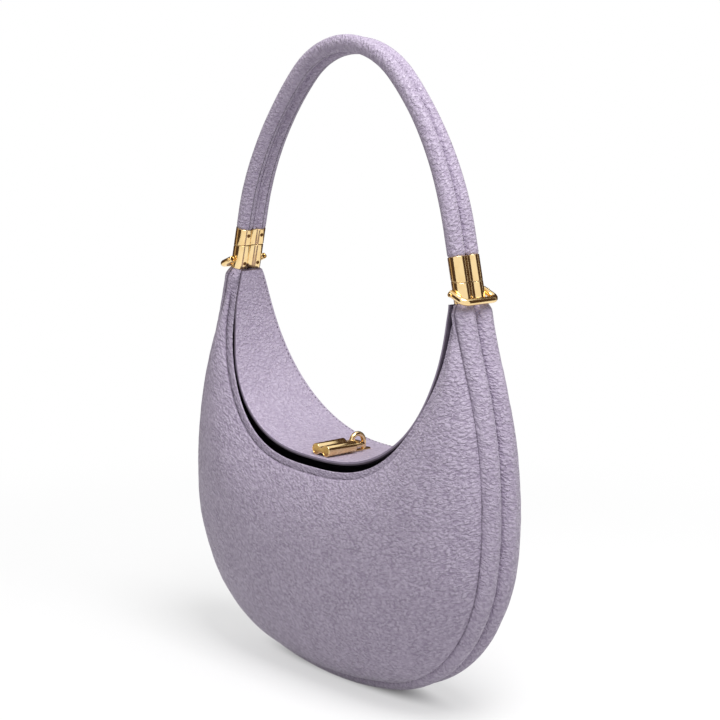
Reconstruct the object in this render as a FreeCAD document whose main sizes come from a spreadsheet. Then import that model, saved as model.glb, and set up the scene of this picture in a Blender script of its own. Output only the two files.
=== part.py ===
"""Half moon shoulder bag with a twin-tube strap, clamp ferrules, side rings and a padlock pull.

Frame: +X to the wearer's right of the front, +Y to the back, +Z up. The origin is on the surface
that the bag stands on, under the middle of the base. The front faces -Y. Lengths are millimetres
and turns are degrees.
"""
import FreeCAD
import Part
import Sketcher
import math
import os

from FreeCAD import Placement, Rotation, Vector

DIMENSIONS = (
    # Outline of the side rolls, from the middle of the base up to the ferrule
    ("base_bend_radius", 278.2, "bend of the roll centre line under the base"),
    ("base_bend_angle", 12, "turn of that bend, degrees"),
    ("side_bend_radius", 113.25, "bend at the lower corners"),
    ("side_bend_angle", 71.2, "turn of that bend, degrees"),
    ("horn_bend_radius", 305, "long bend up the horn"),
    ("horn_bend_angle", 25.5, "turn of that bend, degrees"),
    ("neck_bend_radius", 420, "reverse bend under the ferrule"),
    ("neck_bend_angle", 5.5, "turn of that bend, degrees"),
    ("roll_radius", 8, "padded side roll"),
    ("roll_skin", 1.4, "leather of the side roll"),
    ("roll_neck_length", 8, "stretch where a roll narrows to its ferrule"),
    ("base_flat", 0.8, "how far the rolls flatten where the bag stands"),
    ("tube_gap", 0.3, "gap between neighbouring leather pieces"),
    # Front and back panels
    ("panel_thickness", 2.2, "leather and backing of a panel"),
    ("rim_height", 156.5, "front rim above the floor, in the middle"),
    ("rim_depth", 40, "front rim from the middle plane, in the middle"),
    ("horn_depth", 19, "front rim from the middle plane, at the horn"),
    ("rim_widest_drop", 24, "widest point of the mouth, below the ferrule"),
    ("rim_inset", 1.6, "mouth edge from the inner side of the roll"),
    ("rear_rim_rise", 7.9, "rear rim above the front rim, in the middle"),
    ("crown_height", 8.5, "swell of a panel past its rim, in the middle"),
    # Lining and facing
    ("lining_thickness", 0.8, "lining cloth"),
    ("lining_gap", 1.1, "slack between a panel and its lining"),
    ("facing_thickness", 1.6, "leather facing inside the front rim"),
    ("facing_height", 13, "facing from its lower edge to its upper edge"),
    ("facing_rise", 3.9, "facing above the front rim"),
    # Flap
    ("flap_thickness", 3, "two leathers glued together"),
    ("flap_edge_gap", 1.3, "flap edge from the facing"),
    ("tongue_half_width", 46, "part of the flap that lifts"),
    ("fold_depth", 28, "fold line from the middle plane"),
    ("fold_gap", 0.6, "gap at the fold"),
    # Strap
    ("strap_radius", 6.1, "padded strap tube"),
    ("strap_skin", 1.2, "leather of the strap tube"),
    ("strap_straight", 14, "straight stretch above the ferrule"),
    ("strap_shoulder_radius", 215, "bend of the strap's shoulder"),
    ("strap_shoulder_angle", 32.2, "turn of that bend, degrees"),
    ("strap_tape_width", 3.6, "seam tape between the strap tubes"),
    ("strap_tape_thickness", 0.8, "seam tape"),
    ("strap_tape_depth", 4.6, "seam tape from the strap's centre line"),
    # Ferrules
    ("ferrule_length", 31, "both halves together"),
    ("ferrule_seam_gap", 0.3, "gap between the halves"),
    ("seam_height", 16.1, "middle of the seam above the ferrule's lower end"),
    ("seam_slope_angle", 14, "how far the seam rises to the mouth, degrees"),
    ("lobe_radius", 6.2, "one lobe of a ferrule"),
    ("ferrule_wall", 0.9, "metal of a ferrule"),
    ("waist_half_width", 4.6, "ferrule between its lobes"),
    ("grip_length", 9, "leather end inside a ferrule"),
    ("dowel_length", 11, "dowel across the ferrule's seam"),
    ("fit_gap", 0.1, "clearance of a fitted piece"),
    ("screw_radius", 1, "clamp screw"),
    ("screw_inset", 4.5, "clamp screw from the ferrule's end"),
    ("screw_proud", 0.15, "clamp screw above the ferrule"),
    # Side rings
    ("ring_bar_radius", 2.4, "bar of a side ring"),
    ("ring_reach", 12, "bar from its pivot"),
    ("ring_corner_radius", 4, "bend at a ring's corners"),
    ("ring_dip_angle", 35, "how far a ring hangs below level, degrees"),
    ("ring_clearance", 0.35, "ring eye from the ferrule"),
    ("eye_radius", 3, "eye at a ring's end"),
    ("pin_radius", 1.4, "pivot pin"),
    ("pin_head_radius", 2.2, "head of the pivot pin"),
    ("pin_head_thickness", 0.6, "head of the pivot pin"),
    ("pivot_height", 6.5, "pivot above the ferrule's lower end"),
    # Padlock pull
    ("barrel_radius", 4.2, "one barrel of the padlock"),
    ("barrel_half_pitch", 5.3, "barrel from the padlock's middle"),
    ("barrel_length", 26.7, "padlock body"),
    ("barrel_chamfer", 0.4, "edge of the padlock body"),
    ("waist_blend_radius", 3.4, "hollow between the barrels"),
    ("lock_clearance", 1.1, "padlock above the flap"),
    ("shackle_radius", 1.8, "bar of the shackle"),
    ("shackle_length", 10, "cross bar from the padlock body"),
    ("shackle_bend_radius", 2.6, "corners of the shackle"),
    ("staple_radius", 1.85, "wire of the staple"),
    ("staple_half_pitch", 6, "staple leg from its middle"),
    ("staple_middle", 7.5, "staple behind the middle plane"),
    ("staple_rise", 6.2, "centre of the staple's bend above the flap"),
    ("hinge_back", 1.6, "shackle's cross bar behind the staple's middle"),
    ("plate_thickness", 0.8, "plate under the staple"),
    ("plate_width", 5.6, "plate across the bag"),
    ("plate_length", 22, "plate from front to back"),
    ("plate_middle", 8.6, "plate behind the middle plane"),
    ("overrun", 400, "how far a cutting shape runs past the bag"),
)

# Counts, and shares of the sizes that they follow
SECTION_STEPS = 9
CROWN_STEPS = 4
RIM_STEPS = 3
RIM_CURVE_STEPS = 6
CREST_SHARE = 0.52
HALF_SHARE = 0.5
FRONT_FLATNESS_SHARE = 0.36
REAR_FLATNESS_SHARE = 0.45
RIM_FALL_SHARE = 0.95
FACING_STEPS = 8
LINING_STEPS = 7

os.makedirs("parts", exist_ok=True)
doc = FreeCAD.newDocument("half_moon_bag")
sheet = doc.addObject("Spreadsheet::Sheet", "sizes")
for row, (alias, value, note) in enumerate(DIMENSIONS, start=1):
    sheet.set("A%d" % row, alias)
    sheet.set("B%d" % row, str(value))
    sheet.set("C%d" % row, note)
    sheet.setAlias("B%d" % row, alias)
doc.recompute()

ORIGIN = Vector(0, 0, 0)
ACROSS = Vector(1, 0, 0)
BACK = Vector(0, 1, 0)
UP = Vector(0, 0, 1)
pieces = []


def size(alias):
    """Value of a driving dimension."""
    return float(sheet.get(alias))


def keep(feature, label):
    """Name a finished sub-part."""
    feature.Label = label
    pieces.append(feature)
    return feature


def solid(label, shape, placement=None):
    """Add a sub-part whose shape is worked out here."""
    feature = doc.addObject("Part::Feature", label)
    feature.Shape = shape
    if placement is not None:
        feature.Placement = placement
    return keep(feature, label)


def bind(feature, **expressions):
    """Tie properties of a feature to cells of the sheet."""
    for name, expression in expressions.items():
        feature.setExpression(name, expression)
    return feature


def both_sides(half):
    """A half and its mirror image across the middle, joined."""
    return half.fuse(half.mirror(ORIGIN, ACROSS)).removeSplitter()


class Trail:
    """Chain of tangent lines and arcs in the XZ plane."""

    def __init__(self, x, z, heading):
        self.point = Vector(x, 0, z)
        self.heading = math.radians(heading)
        self.edges = []

    def ahead(self):
        return Vector(math.cos(self.heading), 0, math.sin(self.heading))

    def left(self):
        return Vector(-math.sin(self.heading), 0, math.cos(self.heading))

    def line(self, length):
        end = self.point + self.ahead() * length
        self.edges.append(Part.LineSegment(self.point, end).toShape())
        self.point = end
        return self

    def arc(self, radius, turn):
        """Bend to the left for a positive turn and to the right for a negative one."""
        lever = self.left() * math.copysign(radius, turn)
        centre = self.point + lever
        spins = [Rotation(BACK, -turn * share) for share in (HALF_SHARE, 1)]
        middle, end = [centre + spin.multVec(-lever) for spin in spins]
        self.edges.append(Part.Arc(self.point, middle, end).toShape())
        self.point = end
        self.heading += math.radians(turn)
        return self


def ordered_wire(edges):
    return Part.Wire(Part.__sortEdges__(edges))


def full_path(trail):
    """A trail and its mirror image as one wire."""
    return ordered_wire([edge.mirror(ORIGIN, ACROSS) for edge in trail.edges] + trail.edges)


def strip(near, far, width):
    """Solid between two trails, centred on the middle plane, on both sides."""
    ends = [Part.LineSegment(near.edges[0].Vertexes[0].Point, far.edges[0].Vertexes[0].Point),
            Part.LineSegment(near.point, far.point)]
    outline = ordered_wire(near.edges + far.edges + [end.toShape() for end in ends])
    half = Part.Face(outline).extrude(BACK * width)
    half.translate(BACK * -width * HALF_SHARE)
    return both_sides(half)


def tube(path, radius, offset):
    """Round bar along lines and arcs, moved to the back by an offset."""
    spine = path.copy()
    spine.translate(BACK * offset)
    first = spine.OrderedEdges[0]
    start = spine.OrderedVertexes[0].Point
    ring = Part.Wire(Part.makeCircle(radius, start, first.tangentAt(first.FirstParameter)))
    return spine.makePipeShell([ring], True, False)


def spline(points):
    curve = Part.BSplineCurve()
    curve.interpolate(points)
    return curve.toShape()


# Roll centre line and what follows from it
roll_offset = size("roll_radius") + size("tube_gap") * HALF_SHARE
base_height = size("roll_radius") - size("base_flat")
tilt = (size("base_bend_angle") + size("side_bend_angle") + size("horn_bend_angle")
        - size("neck_bend_angle") - 90)


def bag_trail(inset):
    """Roll centre line up the right side, moved inwards by an inset, as far as the horn."""
    trail = Trail(0, base_height + inset, 0)
    for bend in ("base", "side", "horn"):
        trail.arc(size(bend + "_bend_radius") - inset, size(bend + "_bend_angle"))
    return trail


roll_trail = bag_trail(0).arc(size("neck_bend_radius"), -size("neck_bend_angle"))
roll_path = full_path(roll_trail)
half_roll_path = ordered_wire(roll_trail.edges)
horn_end = roll_trail.point
ferrule_axis = roll_trail.ahead()
ferrule_foot = horn_end + ferrule_axis * size("roll_neck_length")
strap_offset = size("strap_radius") + size("tube_gap") * HALF_SHARE
grip_radius = size("lobe_radius") - size("ferrule_wall") - size("fit_gap")
eye_width = 2 * size("ring_bar_radius")


def beside(side, along):
    """Placement in a ferrule's own frame: Z up its axis, X away from the mouth."""
    turn = Rotation(BACK, -tilt)
    if side == "left":
        turn = Rotation(UP, 180).multiply(turn)
    foot = Vector(ferrule_foot)
    axis = Vector(ferrule_axis)
    if side == "left":
        foot.x, axis.x = -foot.x, -axis.x
    return Placement(foot + axis * along, turn)


def roll_neck(side, offset):
    """End of a roll that narrows to the ferrule and goes into it."""
    start = beside(side, -size("roll_neck_length"))
    foot = beside(side, 0)
    top = beside(side, size("grip_length"))
    grip_offset = math.copysign(strap_offset, offset)
    axis = foot.Base - start.Base
    wide = Part.Wire(Part.makeCircle(size("roll_radius"), start.Base + BACK * offset, axis))
    narrow = Part.Wire(Part.makeCircle(grip_radius, foot.Base + BACK * grip_offset, axis))
    taper = Part.makeLoft([wide, narrow], True, True)
    grip = Part.makeCylinder(grip_radius, size("grip_length"), foot.Base + BACK * grip_offset,
                             top.Base - foot.Base)
    return taper.fuse(grip)


floor_cut = Part.makeBox(2 * size("overrun"), 2 * size("overrun"), size("overrun"),
                         Vector(-size("overrun"), -size("overrun"), -size("overrun")))


def make_rolls():
    """Padded rolls round both sides and the base, each a leather skin on a soft core."""
    core_radius = size("roll_radius") - size("roll_skin")
    for end, sign in (("front", -1), ("back", 1)):
        skin = tube(roll_path, size("roll_radius"), sign * roll_offset)
        skin = skin.cut(tube(roll_path, core_radius, sign * roll_offset))
        skin = skin.fuse([roll_neck(side, sign * roll_offset) for side in ("left", "right")])
        solid("gusset_roll_" + end, skin.cut(floor_cut).removeSplitter())
        core = tube(roll_path, core_radius - size("fit_gap"), sign * roll_offset)
        solid("roll_core_" + end, core)


# Mouth: a flattened ellipse that runs up the inner sides of the rolls
def path_x(height):
    """Half width of the roll centre line at a height on the horn."""
    level = Part.makeLine(Vector(size("side_bend_radius"), 0, height),
                          Vector(size("overrun"), 0, height))
    return half_roll_path.distToShape(level)[1][0][0].x


rim_top = horn_end.z
widest_height = ferrule_foot.z - size("rim_widest_drop")
mouth_half_width = path_x(widest_height) - size("roll_radius") - size("rim_inset")
mouth_drop = widest_height - size("rim_height")
horn_rim = horn_end - ACROSS * (size("roll_radius") + size("rim_inset"))


def rim_points(rise, flatness):
    """Points up the right half of a rim, evenly spaced, in the XZ plane."""
    points = []
    for step in range(RIM_CURVE_STEPS + 1):
        angle = math.radians(90) * step / RIM_CURVE_STEPS
        x = mouth_half_width * math.sin(angle) ** (2 * flatness)
        points.append(Vector(x, 0, widest_height - (mouth_drop - rise) * math.cos(angle)))
    return spline(points + [horn_rim]).discretize(Number=SECTION_STEPS + 1)


def fall(point):
    """1 in the middle of the front rim and 0 at the horn."""
    return max(0, (rim_top - point.z) / (rim_top - size("rim_height")))


front_rim = rim_points(0, FRONT_FLATNESS_SHARE)
rim_depths = [size("horn_depth") + (size("rim_depth") - size("horn_depth"))
              * fall(point) ** RIM_FALL_SHARE for point in front_rim]
rear_rim = rim_points(size("rear_rim_rise"), REAR_FLATNESS_SHARE)
flap_rim = [point + UP * size("rear_rim_rise") * fall(point) for point in front_rim]
seam_points = half_roll_path.discretize(Number=SECTION_STEPS + 1)
seam_depth = 2 * size("roll_radius") + 2 * size("tube_gap")
panel_height = size("rim_height") - base_height


def panel_profile(number, rim, inset, drop):
    """Points of a panel's section from the roll to the rim, as a crowned curve."""
    seam = seam_points[number]
    reach_total = (rim[number] - seam).Length
    ahead = (rim[number] - seam) / reach_total
    crest_reach = CREST_SHARE * reach_total - inset
    swell = size("crown_height") * math.sqrt(reach_total / panel_height)
    edge = rim_depths[number] - inset
    crest = edge + swell
    points = []
    for step in range(CROWN_STEPS + 1):
        angle = math.radians(90) * step / CROWN_STEPS
        along = inset + crest_reach * (1 - math.cos(angle))
        depth = seam_depth + (crest - seam_depth) * math.sin(angle)
        points.append(seam + ahead * along - BACK * depth)
    rest = reach_total - inset - crest_reach
    for step in range(1, RIM_STEPS + 1):
        along = (rest - drop) * step / RIM_STEPS
        depth = crest - swell * (along / rest) ** 2
        points.append(seam + ahead * (inset + crest_reach + along) - BACK * depth)
    return points


def mirrored_points(points):
    return [Vector(-point.x, point.y, point.z) for point in points]


def band_wire(outer, inner):
    """Closed section between an outer and an inner curve."""
    edges = [spline(outer), Part.LineSegment(outer[-1], inner[-1]).toShape(),
             spline(inner), Part.LineSegment(inner[0], outer[0]).toShape()]
    return ordered_wire(edges)


def crescent_loft(last, section):
    """Loft sections from the left horn over the middle to the right horn."""
    wires = []
    for number in range(-last, last + 1):
        curves = section(abs(number))
        if number < 0:
            curves = [mirrored_points(curve) for curve in curves]
        wires.append(band_wire(*curves))
    return Part.makeLoft(wires, True, False)


def wall(last, rim, outer_inset, thickness, drop):
    """Crowned wall that follows a panel at an inset, facing the front."""
    return crescent_loft(last, lambda number: (
        panel_profile(number, rim, outer_inset, drop),
        panel_profile(number, rim, outer_inset + thickness, drop)))


def make_panels():
    """Leather panels with their linings."""
    lining_inset = size("panel_thickness") + size("lining_gap")
    lining_drop = size("facing_height") - size("facing_rise") + size("tube_gap")
    for end, rim in (("front", front_rim), ("back", rear_rim)):
        panel = wall(SECTION_STEPS, rim, 0, size("panel_thickness"), 0)
        lining = wall(LINING_STEPS, rim, lining_inset, size("lining_thickness"), lining_drop)
        for label, shape in (("%s_panel" % end, panel), ("lining_" + end, lining)):
            if end == "back":
                shape = shape.mirror(ORIGIN, BACK)
            solid(label, shape)
    strip_inset = size("roll_radius") + size("tube_gap")
    near = bag_trail(strip_inset)
    far = bag_trail(strip_inset + size("lining_thickness"))
    solid("lining_gusset", strip(near, far, 2 * size("roll_radius") + 2 * roll_offset))


def make_facing():
    """Leather facing that stands inside the front rim and a little above it."""
    inset = size("panel_thickness") + size("tube_gap")

    def section(number):
        rim = front_rim[number]
        ahead = (rim - seam_points[number]).normalize()
        low = rim - ahead * (size("facing_height") - size("facing_rise"))
        high = rim + ahead * size("facing_rise")
        faces = [rim_depths[number] - inset, rim_depths[number] - inset - size("facing_thickness")]
        return [[low - BACK * depth, high - BACK * depth] for depth in faces]

    solid("front_facing", crescent_loft(FACING_STEPS, section))


# Flap: a sheet that follows the rear rim and runs forward to the facing
flap_floor = size("tube_gap")
flap_ceiling = flap_floor + size("flap_thickness")
flap_top = rear_rim[0].z + flap_ceiling
facing_back = size("panel_thickness") + size("tube_gap") + size("facing_thickness")


def make_flap():
    """Flap with the tongue that lifts and the surround that stays sewn to the rear rim."""

    def section(number):
        tangent = Vector(ACROSS)
        if number > 0:
            before, after = number - 1, min(number + 1, SECTION_STEPS)
            tangent = flap_rim[after] - flap_rim[before] + rear_rim[after] - rear_rim[before]
        normal = Vector(-tangent.z, 0, tangent.x).normalize()
        front = flap_rim[number] - BACK * (rim_depths[number] - facing_back - size("flap_edge_gap"))
        rear = rear_rim[number] + BACK * rim_depths[number]
        return [[front + normal * height, rear + normal * height] for height in (flap_floor, flap_ceiling)]

    sheet_shape = crescent_loft(SECTION_STEPS, section)

    def tongue_box(margin):
        half = size("tongue_half_width") + margin
        back_edge = size("fold_depth") - size("fold_gap") + margin
        return Part.makeBox(2 * half, size("overrun") + back_edge, 2 * size("overrun"),
                            Vector(-half, -size("overrun"), -size("overrun")))

    tongue = sheet_shape.common(tongue_box(0))
    for sign in (-1, 1):
        spot = Vector(0, size("staple_middle") + sign * size("staple_half_pitch"), 0)
        tongue = tongue.cut(Part.makeCylinder(size("staple_radius") + size("fit_gap"),
                                              size("overrun"), spot))
    solid("flap_tongue", tongue)
    solid("flap_surround", sheet_shape.cut(tongue_box(size("fold_gap"))))


# Strap: two padded tubes side by side from ferrule to ferrule
strap_foot = ferrule_foot + ferrule_axis * (size("ferrule_length") + size("fit_gap"))


def strap_trail(inset, lead):
    """Strap centre line from the right ferrule to the top, moved inwards by an inset."""
    start = Trail(strap_foot.x, strap_foot.z, 90 + tilt)
    first = start.point + start.left() * inset - start.ahead() * lead
    trail = Trail(first.x, first.z, 90 + tilt)
    trail.line(lead + size("strap_straight"))
    trail.arc(size("strap_shoulder_radius") - inset, size("strap_shoulder_angle"))
    crown_turn = 90 - tilt - size("strap_shoulder_angle")
    crown_radius = trail.point.x / math.sin(math.radians(crown_turn))
    return trail.arc(crown_radius, crown_turn)


def make_strap():
    """Strap tubes with their cores, and the tape sewn into the seam between them."""
    path = full_path(strap_trail(0, 0))
    grip_path = full_path(strap_trail(0, size("grip_length")))
    core_radius = grip_radius - size("strap_skin")
    for end, sign in (("front", -1), ("back", 1)):
        skin = tube(path, size("strap_radius"), sign * strap_offset)
        skin = skin.fuse(tube(grip_path, grip_radius, sign * strap_offset)).removeSplitter()
        skin = skin.cut(tube(grip_path, core_radius, sign * strap_offset))
        solid("strap_tube_" + end, skin)
        core = tube(grip_path, core_radius - size("fit_gap"), sign * strap_offset)
        solid("strap_core_" + end, core)
    near = strap_trail(size("strap_tape_depth"), 0)
    far = strap_trail(size("strap_tape_depth") + size("strap_tape_thickness"), 0)
    solid("strap_seam_tape", strip(near, far, size("strap_tape_width")))


def round_bar(name, radius, height, placement):
    """Cylinder whose radius and height are tied to the sheet."""
    bar = doc.addObject("Part::Cylinder", name)
    bind(bar, Radius=radius, Height=height)
    bar.Placement = placement
    return bar


def group(kind, name, members):
    joined = doc.addObject(kind, name)
    joined.Shapes = members
    return joined


def cut_from(name, base, tool):
    cut = doc.addObject("Part::Cut", name)
    cut.Base = base
    cut.Tool = tool
    return cut


SCREW_TURN = Rotation(BACK, -90)
PIN_TURN = Rotation(ACROSS, -90)


def beyond_seam(name, half):
    """Block past the sloping seam, on the other half's side."""
    block = doc.addObject("Part::Box", name + "_other_half")
    bind(block, Length="sizes.overrun", Width="sizes.overrun", Height="sizes.overrun")
    gap = size("ferrule_seam_gap") * HALF_SHARE
    low = -gap if half == "lower" else gap - size("overrun")
    corner = Vector(-size("overrun") * HALF_SHARE, -size("overrun") * HALF_SHARE, low)
    turn = Rotation(BACK, size("seam_slope_angle"))
    block.Placement = Placement(UP * size("seam_height") + turn.multVec(corner), turn)
    return block


def make_ferrule(side, half):
    """One half of a ferrule: two lobes and a waist round two bores."""
    name = "ferrule_%s_%s" % (half, side)
    height = "sizes.ferrule_length"
    lobes, holes = [], [beyond_seam(name, half)]
    screw_height = size("screw_inset")
    if half == "upper":
        screw_height = size("ferrule_length") - size("screw_inset")
    for sign in (-1, 1):
        spot = BACK * sign * strap_offset
        tag = "%s_%s" % (name, "front" if sign < 0 else "back")
        lobes.append(round_bar(tag + "_lobe", "sizes.lobe_radius", height, Placement(spot, Rotation())))
        holes.append(round_bar(tag + "_bore", "sizes.lobe_radius - sizes.ferrule_wall", height,
                               Placement(spot, Rotation())))
        holes.append(round_bar(tag + "_screw_hole", "sizes.screw_radius + sizes.fit_gap",
                               "sizes.lobe_radius + sizes.screw_proud",
                               Placement(spot + UP * screw_height, SCREW_TURN)))
        if half == "lower":
            turn = PIN_TURN if sign > 0 else PIN_TURN.inverted()
            holes.append(round_bar(tag + "_pin_hole", "sizes.pin_radius + sizes.fit_gap",
                                   "sizes.lobe_radius + sizes.screw_proud",
                                   Placement(spot + UP * size("pivot_height"), turn)))
    waist = doc.addObject("Part::Box", name + "_waist")
    bind(waist, Length="2 * sizes.waist_half_width",
         Width="2 * sizes.strap_radius + sizes.tube_gap", Height=height)
    waist.Placement.Base = Vector(-size("waist_half_width"), -strap_offset, 0)
    ferrule = cut_from(name, group("Part::MultiFuse", name + "_outside", lobes + [waist]),
                       group("Part::MultiFuse", name + "_inside", holes))
    ferrule.Placement = beside(side, 0)
    keep(ferrule, name)


def make_ferrule_fittings(side):
    """Dowels across the seam, clamp screws and pivot pins of one ferrule."""
    dowels, strap_screws, roll_screws, pins = [], [], [], []
    length = size("ferrule_length")
    for sign in (-1, 1):
        end = "front" if sign < 0 else "back"
        spot = BACK * sign * strap_offset
        low = (length - size("dowel_length")) * HALF_SHARE
        dowels.append(round_bar("dowel_%s_%s" % (end, side),
                                "sizes.lobe_radius - sizes.ferrule_wall - sizes.fit_gap",
                                "sizes.dowel_length", Placement(spot + UP * low, Rotation())))
        shank = "sizes.ferrule_wall + sizes.screw_proud"
        inner = ACROSS * -(size("lobe_radius") - size("ferrule_wall"))
        for kind, screws, level in (("strap", strap_screws, length - size("screw_inset")),
                                    ("roll", roll_screws, size("screw_inset"))):
            screws.append(round_bar("%s_screw_%s_%s" % (kind, end, side), "sizes.screw_radius", shank,
                                    Placement(spot + inner + UP * level, SCREW_TURN)))
        turn = PIN_TURN if sign > 0 else PIN_TURN.inverted()
        pivot = UP * size("pivot_height")
        wall_inside = strap_offset + size("lobe_radius") - size("ferrule_wall")
        head_inside = (strap_offset + size("lobe_radius") + 2 * size("ring_clearance")
                       + eye_width)
        shaft = round_bar("pin_shaft_%s_%s" % (end, side), "sizes.pin_radius",
                          "sizes.ferrule_wall + 2 * sizes.ring_clearance + 2 * sizes.ring_bar_radius",
                          Placement(pivot + BACK * sign * wall_inside, turn))
        head = round_bar("pin_head_%s_%s" % (end, side), "sizes.pin_head_radius",
                         "sizes.pin_head_thickness",
                         Placement(pivot + BACK * sign * head_inside, turn))
        pins.append(group("Part::MultiFuse", "pivot_pin_%s_%s" % (end, side), [shaft, head]))
    for name, members in (("ferrule_dowels", dowels), ("strap_screws", strap_screws),
                          ("roll_screws", roll_screws), ("ring_pins", pins)):
        bundle = doc.addObject("Part::Compound", "%s_%s" % (name, side))
        bundle.Links = members
        bundle.Placement = beside(side, 0)
        keep(bundle, "%s_%s" % (name, side))


def bent_bar(points, bend_radius, bar_radius):
    """Round bar along straight runs joined by arcs of one radius."""
    edges = []
    start = points[0]
    for before, corner, after in zip(points, points[1:], points[2:]):
        back_way = (before - corner).normalize()
        on_way = (after - corner).normalize()
        half_angle = back_way.getAngle(on_way) * HALF_SHARE
        setback = bend_radius / math.tan(half_angle)
        centre = corner + (back_way + on_way).normalize() * (bend_radius / math.sin(half_angle))
        first, last = corner + back_way * setback, corner + on_way * setback
        middle = centre + (corner - centre).normalize() * bend_radius
        if (first - start).Length > size("fit_gap"):
            edges.append(Part.LineSegment(start, first).toShape())
        edges.append(Part.Arc(first, middle, last).toShape())
        start = last
    edges.append(Part.LineSegment(start, points[-1]).toShape())
    return tube(Part.Wire(edges), bar_radius, 0)


def make_ring(side):
    """U-shaped side ring with an eye at each end, in its pivot's frame."""
    arm = strap_offset + size("lobe_radius") + size("ring_clearance") + size("ring_bar_radius")
    reach = size("ring_reach")
    bar = bent_bar([Vector(0, -arm, 0), Vector(reach, -arm, 0), Vector(reach, arm, 0),
                    Vector(0, arm, 0)], size("ring_corner_radius"), size("ring_bar_radius"))
    eyes, bores = [], []
    for sign in (-1, 1):
        low = BACK * (sign * arm - size("ring_bar_radius"))
        eyes.append(Part.makeCylinder(size("eye_radius"), eye_width, low, BACK))
        bores.append(Part.makeCylinder(size("pin_radius") + size("fit_gap"), eye_width,
                                       low, BACK))
    place = beside(side, size("pivot_height"))
    place.Rotation = place.Rotation.multiply(Rotation(BACK, size("ring_dip_angle")))
    solid("ring_" + side, bar.fuse(eyes).cut(Part.makeCompound(bores)), place)


# Padlock pull on the flap
hinge_y = size("staple_middle") + size("hinge_back")
lock_height = flap_top + size("lock_clearance") + size("barrel_radius")
body_back = hinge_y - size("shackle_length")


def new_body(name):
    return doc.addObject("PartDesign::Body", name)


def sketch_on(body, role, name):
    """Sketch on one of a body's own origin planes."""
    plane = [item for item in body.Origin.OriginFeatures if item.Role == role][0]
    sketch = body.newObject("Sketcher::SketchObject", name)
    sketch.AttachmentSupport = [(plane, "")]
    sketch.MapMode = "FlatFace"
    return sketch


def arc_between(centre, radius, first, last):
    """Arc of a circle, anticlockwise between two angles in degrees."""
    circle = Part.Circle(centre, UP, radius)
    return Part.ArcOfCircle(circle, math.radians(first), math.radians(last))


def make_lock_body():
    """Padlock body: two barrels side by side, blended by a hollow waist."""
    body = new_body("lock_body")
    radius, pitch = size("barrel_radius"), size("barrel_half_pitch")
    blend = size("waist_blend_radius")
    height = math.sqrt((radius + blend) ** 2 - pitch ** 2)
    lean = math.degrees(math.atan2(height, pitch))
    sketch = sketch_on(body, "XZ_Plane", "lock_profile")
    sketch.addGeometry(arc_between(ACROSS * pitch, radius, lean - 180, 180 - lean), False)
    sketch.addGeometry(arc_between(Vector(0, height, 0), blend, 180 + lean, 360 - lean), False)
    sketch.addGeometry(arc_between(ACROSS * -pitch, radius, lean, 360 - lean), False)
    sketch.addGeometry(arc_between(Vector(0, -height, 0), blend, lean, 180 - lean), False)
    for number, alias in enumerate(("barrel_radius", "waist_blend_radius") * 2):
        index = sketch.addConstraint(Sketcher.Constraint("Radius", number, size(alias)))
        sketch.setExpression("Constraints[%d]" % index, "sizes." + alias)
    pad = body.newObject("PartDesign::Pad", "lock_pad")
    pad.Profile = sketch
    bind(pad, Length="sizes.barrel_length")
    doc.recompute()
    ends = [edge for edge in range(1, len(pad.Shape.Edges) + 1)
            if abs(pad.Shape.Edges[edge - 1].BoundBox.YLength) < size("fit_gap")]
    rounded = body.newObject("PartDesign::Chamfer", "lock_edges")
    rounded.Base = (pad, ["Edge%d" % edge for edge in ends])
    bind(rounded, Size="sizes.barrel_chamfer")
    body.Placement = Placement(Vector(0, body_back, lock_height), Rotation())
    keep(body, "lock_body")


def make_shackle():
    """Shackle: two legs out of the barrels and the cross bar that hangs in the staple."""
    pitch = size("barrel_half_pitch")
    bar = bent_bar([Vector(-pitch, body_back, lock_height), Vector(-pitch, hinge_y, lock_height),
                    Vector(pitch, hinge_y, lock_height), Vector(pitch, body_back, lock_height)],
                   size("shackle_bend_radius"), size("shackle_radius"))
    solid("lock_shackle", bar)


def make_staple():
    """Staple: an arch over the flap whose legs go through both plates."""
    pitch = size("staple_half_pitch")
    bottom = flap_top - size("flap_thickness") - size("plate_thickness") - size("fit_gap")
    top = flap_top + size("staple_rise")
    left, right = size("staple_middle") - pitch, size("staple_middle") + pitch
    arch = Part.Arc(Vector(0, left, top), Vector(0, size("staple_middle"), top + pitch),
                    Vector(0, right, top)).toShape()
    legs = [Part.LineSegment(Vector(0, left, bottom), Vector(0, left, top)).toShape(),
            Part.LineSegment(Vector(0, right, top), Vector(0, right, bottom)).toShape()]
    solid("pull_staple", tube(Part.Wire([legs[0], arch, legs[1]]), size("staple_radius"), 0))


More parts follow.
